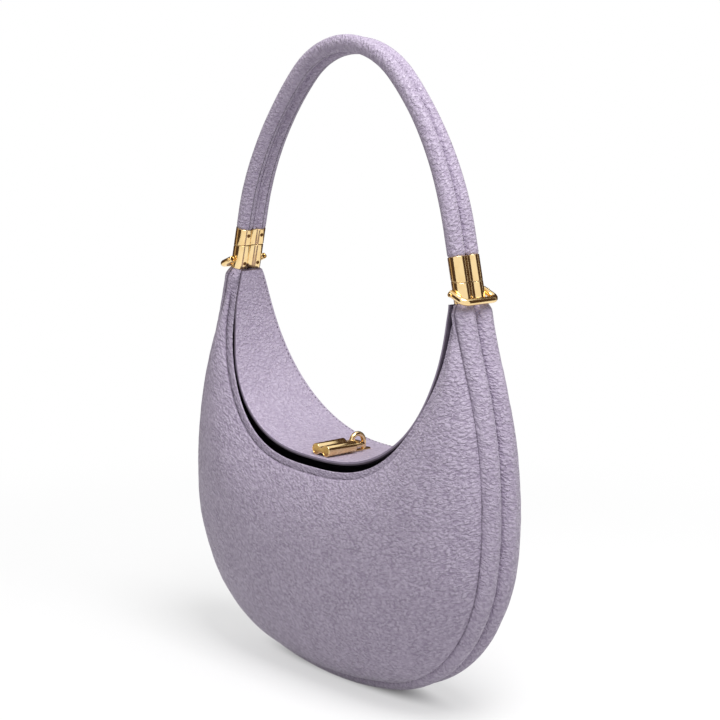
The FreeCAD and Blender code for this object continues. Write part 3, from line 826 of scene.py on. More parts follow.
@dataclass(frozen=True)
class ClothFinish:
    """Fine woven lining."""

    name: str
    colour: Colour
    shade: Colour
    threads: float = 2600.0
    wave_turn: float = 6.28
    waver: float = 0.6
    roughness: float = 0.85
    sheen: float = 0.2
    bump: float = 0.4
    relief: float = 0.08

    def material(self) -> bpy.types.Material:
        """Build the finish.

        Returns:
            The material.
        """
        material, wires, shader = new_material(self.name)
        place = wires.place()
        weave = [wires.node("ShaderNodeTexWave", {"bands_direction": axis}, Vector=place,
                            Scale=self.threads / self.wave_turn, Distortion=self.waver)
                 for axis in ("X", "Z")]
        height = wires.sum("ADD", weave[0].outputs["Fac"], weave[1].outputs["Fac"])
        share = wires.sum("MULTIPLY", height, 0.5)
        wires.fill(shader, Base_Color=wires.blend(share, self.shade, self.colour), Roughness=self.roughness,
                   Sheen_Weight=self.sheen, Normal=bumped(wires, height, self.bump, self.relief))
        return material


@dataclass(frozen=True)
class ThreadFinish:
    """Twisted sewing thread, or the painted shade in a needle hole."""

    name: str
    colour: Colour
    shade: Colour
    twist: float = 900.0
    roughness: float = 0.6
    bump: float = 0.5
    relief: float = 0.06

    def material(self) -> bpy.types.Material:
        """Build the finish.

        Returns:
            The material.
        """
        material, wires, shader = new_material(self.name)
        turns = wires.node("ShaderNodeTexWave", {"bands_direction": "DIAGONAL"}, Vector=wires.place(),
                           Scale=self.twist).outputs["Fac"]
        wires.fill(shader, Base_Color=wires.blend(turns, self.shade, self.colour),
                   Roughness=self.roughness, Normal=bumped(wires, turns, self.bump, self.relief))
        return material


class Finishes:
    """Every finish of the bag, built once."""

    def __init__(self) -> None:
        """Build all the materials."""
        # The panel's painted valley shade is darker, since little direct light reaches its grain.
        self.panel = LeatherFinish("panel_leather", valley=tone(142, 127, 153), crease_bow=1.47).material()
        self.flap = LeatherFinish("flap_leather", crease_scale=(0.75, 0.75, 1.0),
                                  crease_depth=0.5).material()
        self.tube = LeatherFinish("tube_leather", follows_map=True, crease_scale=(1.0, 0.55, 1.0),
                                  creases=660.0, crease_turn=-20.0).material()
        # Edge paint, and a dark copy of it that is painted shade on the lower half of the flap's edges.
        self.edge_light = PaintFinish("edge_paint_light", tone(146, 134, 156),
                                      tone(160, 149, 169)).material()
        self.shaded_edge_paint = PaintFinish("edge_paint_painted_shade", tone(74, 64, 80), tone(96, 84, 104)).material()
        self.gold = MetalFinish("polished_gold", tone(250, 221, 166), tone(244, 210, 150)).material()
        self.brushed_gold = MetalFinish("brushed_gold", tone(208, 172, 104), tone(186, 148, 84),
                                        Look.BRUSHED).material()
        self.bronze = MetalFinish("dark_screw_metal", tone(120, 84, 48), tone(84, 56, 32),
                                  Look.BRUSHED).material()
        self.steel = MetalFinish("plain_steel", tone(176, 176, 180), tone(150, 150, 154),
                                 Look.BRUSHED).material()
        self.lining = ClothFinish("lining_cloth", tone(96, 86, 104), tone(62, 54, 70)).material()
        self.thread = ThreadFinish("lilac_thread", tone(206, 198, 212), tone(160, 148, 170)).material()
        # Dark beads that paint the shade in needle holes.
        self.hole = ThreadFinish("needle_hole_shade", tone(84, 72, 92), tone(58, 48, 66)).material()


# Lines that the leather follows


@dataclass(frozen=True)
class BagLines:
    """Outline of the bag and of its mouth."""

    base_bend: tuple[float, float] = (278.2, 12.0)
    side_bend: tuple[float, float] = (113.25, 71.2)
    horn_bend: tuple[float, float] = (305.0, 25.5)
    neck_bend: tuple[float, float] = (420.0, -5.5)
    roll_radius: float = 8.0
    base_flat: float = 0.8
    neck_length: float = 8.0
    grip_length: float = 9.0
    ferrule_length: float = 31.0
    rim_height: float = 156.5
    rim_half_width: float = 116.3
    rim_widest: float = 267.1
    rim_top: tuple[float, float] = (113.6, 292.5)
    rear_rim_rise: float = 7.9
    horn_depth: float = 5.0
    middle_depth: float = 40.1
    depth_share: float = 0.59
    front_flatness: float = 0.72
    flap_flatness: float = 0.76
    rear_flatness: float = 0.9
    horn_setback: float = 3.6
    horn_inset: float = 1.4
    horn_front: float = 12.6
    flap_inset: float = 2.4
    tip_hold: float = 0.5
    tip_span: tuple[float, float] = (0.0, 0.12)
    horn_span: tuple[float, float] = (0.3, 0.75)
    curve_steps: int = 160
    horn_steps: int = 40

    @property
    def base_height(self) -> float:
        """Height of the rolls' centre line in the middle of the base."""
        return self.roll_radius - self.base_flat

    @property
    def tilt(self) -> float:
        """Lean of the ferrules towards the middle, in degrees."""
        return sum(turn for _, turn in self.bends) - 90

    @property
    def bends(self) -> tuple[tuple[float, float], ...]:
        """Radius and turn of each bend from the base to the horn."""
        return self.base_bend, self.side_bend, self.horn_bend, self.neck_bend

    def horn_trail(self) -> Trail:
        """Roll centre line on the right.

        Returns:
            The line from the middle of the base to the horn.
        """
        trail = Trail(0.0, self.base_height, 0.0)
        for radius, turn in self.bends:
            trail.arc(radius, turn)
        return trail

    def roll_line(self, shares: np.ndarray) -> np.ndarray:
        """Points of the roll centre line.

        Args:
            shares: places from -1 at the left horn to 1 at the right one.

        Returns:
            Rows of X and Z.
        """
        trail = self.horn_trail()
        line = np.array([trail.at(abs(share) * trail.length) for share in shares])
        line[:, 0] *= np.sign(shares)
        return line

    def rim(self, end: End, shares: np.ndarray) -> np.ndarray:
        """Rim of the front or the back panel."""
        return self.rear_rim(shares) if end is End.BACK else self.front_rim(shares)

    def ferrule_foot(self) -> tuple[float, float]:
        """X and Z of the right ferrule's lower end."""
        return self.horn_trail().line(self.neck_length).end[:2]

    def ferrule_frame(self, side: Side, along: float) -> Matrix:
        """Frame on a ferrule's axis: Z up the axis, X away from the mouth.

        Args:
            side: which ferrule.
            along: distance up the axis from its lower end.

        Returns:
            The frame in millimetres.
        """
        x, z = self.ferrule_foot()
        lean = math.radians(self.tilt)
        spot = Vector((side.value * (x - along * math.sin(lean)), 0, z + along * math.cos(lean)))
        turn = Matrix.Rotation(-lean, 4, "Y")
        if side is Side.LEFT:
            turn = Matrix.Rotation(math.pi, 4, "Z") @ turn
        return Matrix.Translation(spot) @ turn

    def front_rim(self, shares: np.ndarray) -> np.ndarray:
        """Rim of the front panel, set back from the mouth along the horns.

        Args:
            shares: places from -1 at the left horn to 1 at the right one.

        Returns:
            Rows of X and Z.
        """
        line = self._rim(shares, 0.0, self.front_flatness)
        line[..., 0] += np.sign(shares) * self.horn_setback * self._on_horn(line[..., 1])
        return line

    def rear_rim(self, shares: np.ndarray) -> np.ndarray:
        """Rim of the back panel."""
        return self._rim(shares, self.rear_rim_rise, self.rear_flatness)

    def flap_rim(self, shares: np.ndarray) -> np.ndarray:
        """Line under the flap's front edge.

        Args:
            shares: places from -1 at the left horn to 1 at the right one.

        Returns:
            Rows of X and Z.
        """
        line = self._rim(shares, self.rear_rim_rise, self.flap_flatness)
        line[..., 0] -= np.sign(shares) * self.flap_inset * self._on_horn(line[..., 1])
        return line

    def _on_horn(self, height: np.ndarray) -> np.ndarray:
        """1 on the upper horns, less at the ferrules and 0 in the middle.

        Args:
            height: heights on the rim.

        Returns:
            One value for each height.
        """
        fall = self.fall(height)
        at_tip = self.tip_hold + (1 - self.tip_hold) * ease(fall, *self.tip_span)
        return at_tip * (1 - ease(fall, *self.horn_span))

    def _rim(self, shares: np.ndarray, rise: float, flatness: float) -> np.ndarray:
        """Points of a rim of the mouth in the XZ plane.

        Args:
            shares: places along the rim, from -1 at the left horn to 1 at the right one.
            rise: how far the middle is lifted above the front rim.
            flatness: power of the curve, smaller for a boxier mouth.

        Returns:
            Rows of X and Z.
        """
        angles = np.linspace(0, math.pi / 2, self.curve_steps)
        drop = self.rim_widest - self.rim_height
        curve = stacked(self.rim_half_width * np.sin(angles) ** flatness,
                        self.rim_widest - drop * np.cos(angles))
        up = np.linspace(0, 1, self.horn_steps)[1:]
        top_x, top_z = self.rim_top
        horn = stacked(self.rim_half_width - (self.rim_half_width - top_x) * up ** 2,
                       self.rim_widest + (top_z - self.rim_widest) * up)
        line = np.vstack([curve, horn])
        line[:, 1] += rise * self.fall(line[:, 1])
        steps = distances(line)
        places = np.abs(shares) * steps[-1]
        return stacked(np.sign(shares) * np.interp(places, steps, line[:, 0]),
                       np.interp(places, steps, line[:, 1]))

    def fall(self, height: np.ndarray) -> np.ndarray:
        """1 at the middle of the front rim and 0 at the ferrules."""
        top = self.rim_top[1]
        return np.clip((top - height) / (top - self.rim_height), 0, 1)

    def depth(self, height: np.ndarray) -> np.ndarray:
        """Distance of the rim from the middle plane at a height."""
        return self.horn_depth + (self.middle_depth - self.horn_depth) * self.fall(height) ** self.depth_share

    def front_depth(self, height: np.ndarray) -> np.ndarray:
        """Distance of the front rim, which stays clear of the rolls up to the ferrules."""
        held = self.depth(height) - self.horn_inset * self._on_horn(height)
        return held_above(held, self.horn_front)


LINES = BagLines()


def seat(thing: bpy.types.Object, body: str, slot: str, *nodes: str) -> None:
    """Ride a piece on a body and hide the nodes that it stands for.

    Args:
        thing: the piece.
        body: name of the body.
        slot: name of the record's material slot; not used.
        nodes: names of the nodes that the piece replaces.
    """
    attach(thing, body)
    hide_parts(*nodes)
    LOG.info("%s: %d faces on %s", thing.name, len(thing.data.polygons), body)


# Padded tubes


FRONT_FACE = -math.pi / 2
BACK_FACE = math.pi / 2


@dataclass
class PaddedTube:
    """One padded leather tube along a line, with puckers beside its seams."""

    name: str
    line: np.ndarray
    outward: float
    offset: float
    end_offset: float
    radius: float
    end_radius: float
    end_length: float
    neck_length: float
    seams: Sequence[tuple[float, float]]
    seed: float
    segments: int = 52
    pucker_pitch: float = 3.4
    pucker_reach: float = 4.5
    pucker_slant: float = 0.45
    pucker_width: float = 9.0
    crumple: float = 0.10
    dent_length: float = 5.5
    dent_turn: float = 1.3
    swell_length: float = 34.0
    swell_turn: float = 0.8
    swell_share: float = 2.2
    relief_start: float = 6.0
    squeeze: float = 0.0
    lean: float = 0.0
    dip: float = 0.0
    squeeze_span: tuple[float, float] = (20.0, 120.0)
    lowest: Optional[float] = None
    # Painted seam shade: angle and reach of each, and how dark the shade gets.
    seam_shade_marks: Sequence[tuple[float, float]] = ()
    seam_shade: float = 1.0

    def build(self, finish: bpy.types.Material) -> bpy.types.Object:
        """Make the tube's mesh with a map along and round it.

        Args:
            finish: leather of the tube.

        Returns:
            The tube.
        """
        out = self.outward * left_of(headings(self.line))
        run = distances(self.line)
        from_end = np.minimum(run, run[-1] - run)
        swell = np.sin(np.clip((from_end - self.end_length) / self.neck_length, 0, 1) * math.pi / 2)
        radius = self.end_radius + (self.radius - self.end_radius) * swell
        pressed = ease(from_end, *self.squeeze_span)
        across = 1 - self.squeeze * pressed
        middle = (self.end_offset + (self.offset - self.end_offset) * swell) * across + self.lean * pressed
        angles = np.linspace(math.pi, -math.pi, self.segments, endpoint=False)
        along, turned = np.meshgrid(run, angles, indexing="ij")
        shown = ease(from_end, self.end_length, self.end_length + self.relief_start)
        spread = radius[:, None] + self._relief(along, turned) * shown[:, None]
        centre = stacked(self.line[:, 0], middle, self.line[:, 1] - self.dip * pressed)
        points = (centre[:, None] + (spread * np.cos(turned))[..., None] * out[:, None]
                  + (spread * across[:, None] * np.sin(turned))[..., None] * BACKWARD)
        if self.lowest is not None:
            points[..., 2] = np.maximum(points[..., 2], self.lowest)
        tube = piece(self.name, *loft(points), finish, sharp=60)
        give_uv(tube, stacked(along, turned * self.radius))
        # Painted shade beside the seams, fading round the tube.
        shade_marks = [np.exp(-((self._away(turned, angle) / reach) ** 2)) for angle, reach in self.seam_shade_marks]
        paint_seam_shade(tube, np.max(shade_marks, axis=0) * self.seam_shade)
        return tube

    def _away(self, turned: np.ndarray, angle: float) -> np.ndarray:
        """Distance round the tube from the seam at an angle."""
        return np.abs((turned - angle + math.pi) % (2 * math.pi) - math.pi) * self.radius

    def _relief(self, along: np.ndarray, turned: np.ndarray) -> np.ndarray:
        """Puckers and soft dents over the tube.

        Args:
            along: distance of each point along the tube.
            turned: angle of each point round it.

        Returns:
            Height of each point.
        """
        dents = ripple(stacked(along / self.dent_length, turned * self.dent_turn, 0), self.seed)
        swells = ripple(stacked(along / self.swell_length, turned * self.swell_turn, 3), self.seed)
        reliefs = self.crumple * dents + self.swell_share * self.crumple * swells
        for angle, depth in self.seams:
            away = self._away(turned, angle)
            slanted = (along + self.pucker_slant * away) / self.pucker_pitch
            folds = ripple(stacked(slanted, away / self.pucker_width, 7), self.seed + angle)
            reliefs += depth * np.exp(-away / self.pucker_reach) * folds
        return reliefs


@dataclass
class SideRolls:
    """Two padded rolls side by side round the sides and the base."""

    gap: float = 0.3
    end_offset: float = 6.25
    end_radius: float = 5.2
    end_clearance: float = 0.6
    neck: float = 9.0
    pucker: float = 0.3
    # Reach of the painted seam shade beside the panel and between the rolls.
    panel_seam: float = 0.9
    middle_seam_shade: float = 2.2
    seed: float = 11.3
    step: float = 0.9
    rolls: dict[End, bpy.types.Object] = field(default_factory=dict)

    def build(self, finishes: Finishes) -> None:
        """Make both rolls.

        Args:
            finishes: materials.
        """
        trail = LINES.horn_trail().line(LINES.neck_length).line(LINES.grip_length)
        line = trail.both_halves(self.step, from_middle=True)
        offset = LINES.roll_radius + self.gap / 2
        for end in End:
            tube = PaddedTube(
                "roll_" + end.name.lower(), line, -1.0, end.value * offset, end.value * self.end_offset,
                LINES.roll_radius, self.end_radius, LINES.grip_length - self.end_clearance, self.neck,
                ((FRONT_FACE, self.pucker), (BACK_FACE, self.pucker)), self.seed + end.value, lowest=0.0,
                seam_shade_marks=((end.value * BACK_FACE, self.panel_seam),
                            (end.value * FRONT_FACE, self.middle_seam_shade)))
            self.rolls[end] = tube.build(finishes.tube)

    def dress(self) -> None:
        """Seat the rolls on the bag."""
        for end, roll in self.rolls.items():
            word = end.name.lower()
            seat(roll, "bag", "shell_leather", "gusset_roll_" + word, "roll_core_" + word)


@dataclass
class Strap:
    """Strap of two padded tubes with a seam between them."""

    radius: float = 6.1
    gap: float = 0.3
    end_radius: float = 5.2
    straight: float = 14.0
    shoulder: tuple[float, float] = (215.0, 32.2)
    fit_gap: float = 0.1
    end_clearance: float = 0.4
    neck: float = 2.2
    pucker: float = 0.1
    pucker_pitch: float = 2.8
    crumple: float = 0.045
    # Width and strength of the painted shade along the seam between the tubes.
    seam_shade_width: float = 1.6
    seam_shade: float = 0.7
    seed: float = 41.7
    segments: int = 44
    step: float = 0.9
    squeeze: float = 0.165
    lean: float = 1.5
    dips: dict[End, float] = field(default_factory=lambda: {End.FRONT: 0.6, End.BACK: 2.2})
    tape_depth: float = 3.6
    tape_width: float = 2.6
    tape_thickness: float = 0.8
    tape_taper: float = 0.8
    tape_step: float = 2.0
    tape_lean_span: tuple[float, float] = (10.0, 110.0)
    tubes: dict[End, bpy.types.Object] = field(default_factory=dict)
    tape: Optional[bpy.types.Object] = None

    def trail(self, lead: float) -> Trail:
        """Strap centre line on the right.

        Args:
            lead: how far inside the ferrule the line starts.

        Returns:
            The line from the ferrule to the top.
        """
        foot = LINES.ferrule_frame(Side.RIGHT, LINES.ferrule_length + self.fit_gap - lead).translation
        trail = Trail(foot.x, foot.z, 90 + LINES.tilt).line(lead + self.straight).arc(*self.shoulder)
        turn = 90 - LINES.tilt - self.shoulder[1]
        return trail.arc(trail.end[0] / math.sin(math.radians(turn)), turn)

    def build(self, finishes: Finishes) -> None:
        """Make the tubes and the tape in their seam.

        Args:
            finishes: materials.
        """
        line = self.trail(LINES.grip_length).both_halves(self.step, from_middle=False)
        offset = self.radius + self.gap / 2
        for end in End:
            inner = BACK_FACE if end is End.FRONT else FRONT_FACE
            tube = PaddedTube(
                "strap_" + end.name.lower(), line, 1.0, end.value * offset, end.value * offset, self.radius,
                self.end_radius, LINES.grip_length - self.end_clearance, self.neck,
                ((inner, self.pucker),), self.seed + end.value, segments=self.segments,
                seam_shade_marks=((inner, self.seam_shade_width),), seam_shade=self.seam_shade, crumple=self.crumple,
                pucker_pitch=self.pucker_pitch, squeeze=self.squeeze, lean=self.lean, dip=self.dips[end])
            self.tubes[end] = tube.build(finishes.tube)
        self.tape = self._tape(finishes)

    def _tape(self, finishes: Finishes) -> bpy.types.Object:
        """Flat tape sewn along the inner side of the seam.

        Args:
            finishes: materials.

        Returns:
            The tape.
        """
        line = self.trail(0.0).both_halves(self.tape_step, from_middle=False)
        inward = -left_of(headings(line))
        half = self.tape_width / 2
        narrow, top = half * self.tape_taper, self.tape_depth + self.tape_thickness
        section = ((self.tape_depth, -half), (top, -narrow), (top, narrow), (self.tape_depth, half))
        run = distances(line)
        leans = self.lean * ease(np.minimum(run, run[-1] - run), *self.tape_lean_span)
        rings = np.stack([stacked(line[:, 0], leans + across, line[:, 1]) + depth * inward
                          for depth, across in section], axis=1)
        return piece("strap_tape", *loft(rings), finishes.panel)

    def dress(self) -> None:
        """Seat the strap on the bag."""
        for end, tube in self.tubes.items():
            word = end.name.lower()
            seat(tube, "bag", "strap_leather", "strap_tube_" + word, "strap_core_" + word)
        seat(self.tape, "bag", "strap_leather", "strap_seam_tape")


# Panels, lining, facing and flap


@dataclass
class Panel:
    """Crowned leather panel from a roll to the mouth's rim, with a turned edge."""

    end: End
    thickness: float = 2.2
    crest_share: float = 0.66
    crown: float = 12.0
    crown_chord: float = 148.0
    rim_turn: float = 2.3
    seam_sink: float = 0.48
    middle_gap: float = 0.15
    wrap_start: float = 0.93
    wrap_angle: float = 35.0
    least_rise: float = 1.2
    least_crest: float = 0.3
    first_step: float = 1.0
    foot_share: float = 0.4
    overhang: float = 4.6
    overhang_span: tuple[float, float] = (45.0, 110.0)
    overhang_chord: float = 60.0
    overhang_start: float = 0.06
    overhang_fade: float = 0.35
    # Reach of the painted shade beside the roll seam.
    seam_shade_reach: float = 2.0
    stations: int = 380
    tip_stations: int = 36
    tip_share: float = 0.975
    tip_start: float = 0.94
    tip_close: float = 0.99
    steps: int = 84
    seed: float = 71.0
    sag: float = 0.5
    sag_cell: float = 38.0
    seam_calm: tuple[float, float] = (1.0, 22.0)
    rim_calm: tuple[float, float] = (1.0, 18.0)
    dent_share: float = 0.4
    dent_cell: tuple[float, float, float] = (16.0, 16.0, 7.0)
    pucker: float = 0.3
    pucker_pitch: float = 3.6
    pucker_slant: float = 0.3
    pucker_width: float = 12.0
    pucker_reach: float = 6.0
    pucker_start: float = 1.2
    lip_steps: int = 8
    lip_back: int = 5
    piece: Optional[bpy.types.Object] = None

    def _lines(self) -> tuple[np.ndarray, np.ndarray, np.ndarray, np.ndarray]:
        """Seam and rim with their depths, station by station, closing to a round tip on each horn.

        Returns:
            Seam points, rim points, seam depths and rim depths.
        """
        tip = np.linspace(self.tip_start, 1, self.tip_stations)
        body = np.linspace(-self.tip_start, self.tip_start, self.stations)[1:-1]
        shares = np.concatenate([-tip[::-1], body, tip])
        seam = LINES.roll_line(shares)
        rim = LINES.rim(self.end, shares * self.tip_share)
        round_roll = ease(np.abs(shares), self.wrap_start, 1.0) * math.radians(self.wrap_angle)
        hold = LINES.roll_radius - self.seam_sink
        seam = seam + unit(rim - seam) * (hold * np.sin(round_roll))[:, None]
        seam_depth = LINES.roll_radius + self.middle_gap + hold * np.cos(round_roll)
        rim_depth = (LINES.depth if self.end is End.BACK else LINES.front_depth)(rim[:, 1])
        past = np.clip((np.abs(shares) - self.tip_start) / (1 - self.tip_start), 0, self.tip_close)
        open_share = np.sqrt(1 - past ** 2)
        seam = rim + (seam - rim) * open_share[:, None]
        seam_depth = rim_depth + (seam_depth - rim_depth) * open_share
        return seam, rim, seam_depth, rim_depth

    def build(self, finishes: Finishes) -> None:
        """Make the panel's outer and inner walls and its turned rim.

        Args:
            finishes: materials.
        """
        lines = self._lines()
        outer = self._soften(self._wall(*lines, 0.0, self.steps))
        inner = self._wall(*lines, self.thickness, self.steps // 3)
        lip = self._lip(outer, inner)
        rings = np.concatenate([outer, lip, inner[:, ::-1]], axis=1)
        rings[..., 1] *= self.end.value
        self.piece = piece("panel_" + self.end.name.lower(), *loft(rings), finishes.panel, sharp=70)
        # Painted shade: dark along the roll seam, growing across the lip to full on the inner wall, for the
        # dark line at the rim and the shade inside the bag.
        seam_shade_fade = np.exp(-((self._from_seam(outer) / self.seam_shade_reach) ** 2))
        lip_shade = np.broadcast_to(np.linspace(0.0, 1.0, lip.shape[1]), lip.shape[:2])
        paint_seam_shade(self.piece, np.concatenate([seam_shade_fade, lip_shade, np.ones(inner.shape[:2])], axis=1))

    @staticmethod
    def _from_seam(wall: np.ndarray) -> np.ndarray:
        """Distance of each point of a wall from the seam, across the panel."""
        steps = np.cumsum(np.linalg.norm(np.diff(wall, axis=1), axis=-1), axis=1)
        return np.concatenate([np.zeros_like(wall[:, :1, 0]), steps], axis=1)

    def _wall(self, seam: np.ndarray, rim: np.ndarray, seam_depth: np.ndarray, rim_depth: np.ndarray,
              inset: float, steps: int) -> np.ndarray:
        """Crowned wall.

        Args:
            seam: seam points in the XZ plane, station by station.
            rim: rim points in the XZ plane.
            seam_depth: depth of the seam from the middle plane.
            rim_depth: depth of the rim from the middle plane.
            inset: distance behind the outer face.
            steps: points from the seam to the rim.

        Returns:
            Rows of points.
        """
        chord = rim - seam
        reach = np.linalg.norm(chord, axis=1)
        ahead = chord / reach[:, None]
        swell = self.crown * reach / self.crown_chord
        edge = rim_depth - inset
        crest = np.maximum(edge + swell, seam_depth + self.least_rise - inset)
        foot = seam_depth - inset * self.foot_share
        first = min(inset, self.first_step)
        crest_reach = np.maximum(self.crest_share * reach - first, self.least_crest * reach)
        beside = np.minimum(reach / self.overhang_chord, ease(np.abs(seam[:, 0]), *self.overhang_span))
        rows = []
        half = steps // 2
        for angle in np.linspace(0, math.pi / 2, half):
            over = (1 - math.exp(-angle / self.overhang_start)) * math.exp(-angle / self.overhang_fade)
            along = first + crest_reach * (1 - math.cos(angle)) - over * self.overhang * beside
            rows.append((along, foot + (crest - foot) * math.sin(angle)))
        rest = reach - first - crest_reach
        for share in np.linspace(0, 1, steps - half + 1)[1:]:
            depth = crest - (crest - edge) * share ** self.rim_turn
            rows.append((first + crest_reach + rest * share, depth))
        walls = [stacked(seam[:, 0] + ahead[:, 0] * along, depth, seam[:, 1] + ahead[:, 1] * along)
                 for along, depth in rows]
        return np.stack(walls, axis=1)

    def _soften(self, wall: np.ndarray) -> np.ndarray:
        """Push the outer face in and out a little, with puckers along the seam.

        Args:
            wall: rows of points of the outer face.

        Returns:
            The pushed points.
        """
        across = np.gradient(wall, axis=1)
        along = np.gradient(wall, axis=0)
        normal = np.cross(along, across)
        normal /= np.maximum(np.linalg.norm(normal, axis=-1), TINY)[..., None]
        normal *= np.sign(normal[..., 1:2].mean())
        steps = self._from_seam(wall)
        inside = ease(steps, *self.seam_calm) * ease(steps[:, -1:] - steps, *self.rim_calm)
        seed = self.seed + self.end.value
        push = self.sag * inside * ripple(wall / self.sag_cell, seed)
        push += self.dent_share * self.sag * inside * ripple(wall / np.array(self.dent_cell), seed + 5)
        slanted = (distances(wall[:, 0])[:, None] + self.pucker_slant * steps) / self.pucker_pitch
        folds = ripple(stacked(slanted, steps / self.pucker_width, 2), seed + 9)
        push += self.pucker * np.exp(-steps / self.pucker_reach) * folds * ease(steps, 0.0, self.pucker_start)
        return wall + push[..., None] * normal

    def _lip(self, outer: np.ndarray, inner: np.ndarray) -> np.ndarray:
        """Rounded turn over the rim.

        Args:
            outer: rows of points of the outer wall.
            inner: rows of points of the inner wall.

        Returns:
            Rows of points from the outer wall's edge to the inner wall's edge.
        """
        middle = (outer[:, -1] + inner[:, -1]) / 2
        half = (outer[:, -1] - inner[:, -1]) / 2
        radius = np.linalg.norm(half, axis=1)[:, None]
        rise = outer[:, -1] - outer[:, -self.lip_back]
        rise /= np.maximum(np.linalg.norm(rise, axis=1), TINY)[:, None]
        turns = np.linspace(0, math.pi, self.lip_steps)[1:-1]
        return np.stack([middle + half * math.cos(t) + rise * radius * math.sin(t) for t in turns], axis=1)

    def dress(self) -> None:
        """Seat the panel on the bag."""
        seat(self.piece, "bag", "shell_leather", self.end.name.lower() + "_panel")


@dataclass
class Facing:
    """Leather facing that stands inside the front rim and a little above it."""

    thickness: float = 1.6
    rise: float = 5.8
    height: float = 13.0
    panel_thickness: float = 2.2
    groove: float = 1.0
    reach: float = 0.985
    horn_rise: float = 0.5
    horn_height: float = 0.15
    horn_thickness: float = 0.45
    panel_span: tuple[float, float] = (0.0, 0.12)
    rise_span: tuple[float, float] = (0.0, 0.15)
    drop_span: tuple[float, float] = (0.05, 0.3)
    edge_span: tuple[float, float] = (0.0, 0.2)
    edge_steps: int = 9
    stations: int = 260
    piece: Optional[bpy.types.Object] = None

    def section(self, share: np.ndarray) -> tuple[np.ndarray, np.ndarray, np.ndarray]:
        """Where the facing stands.

        Args:
            share: places along the rim, from -1 to 1.

        Returns:
            Rim points, directions across the rim and depths of the facing's front face.
        """
        rim = LINES.front_rim(share)
        normal = left_of(unit(LINES.front_rim(share + RIM_STEP) - LINES.front_rim(share - RIM_STEP)))
        fall = LINES.fall(rim[:, 1])
        panel = self.panel_thickness * ease(fall, *self.panel_span)
        return rim, normal, LINES.front_depth(rim[:, 1]) - panel - self.groove

    def build(self, finishes: Finishes) -> None:
        """Make the strip with a rounded upper edge.

        Args:
            finishes: materials.
        """
        share = np.linspace(-self.reach, self.reach, self.stations)
        rim, normal, depth = self.section(share)
        fall = LINES.fall(rim[:, 1])
        rise = self.horn_rise + (self.rise - self.horn_rise) * ease(fall, *self.rise_span)
        drop = self.horn_height + (1 - self.horn_height) * ease(fall, *self.drop_span)
        low = -(self.height - self.rise) * drop
        full = self.horn_thickness + (1 - self.horn_thickness) * ease(fall, *self.edge_span)
        half = self.thickness / 2 * full
        rings = [(rise - half + half * math.sin(turn), -half + half * math.cos(turn))
                 for turn in np.linspace(0, math.pi, self.edge_steps)]
        rings += [(low, -2 * half), (low, np.zeros_like(low))]
        rows = [stacked(rim[:, 0], 0, rim[:, 1]) + normal * np.reshape(up, (-1, 1))
                - BACKWARD * (depth + back)[:, None] for up, back in rings]
        self.piece = piece("mouth_facing", *loft(np.stack(rows, axis=1)), finishes.panel, sharp=60)

    def dress(self) -> None:
        """Seat the facing on the bag."""
        seat(self.piece, "bag", "shell_leather", "front_facing")


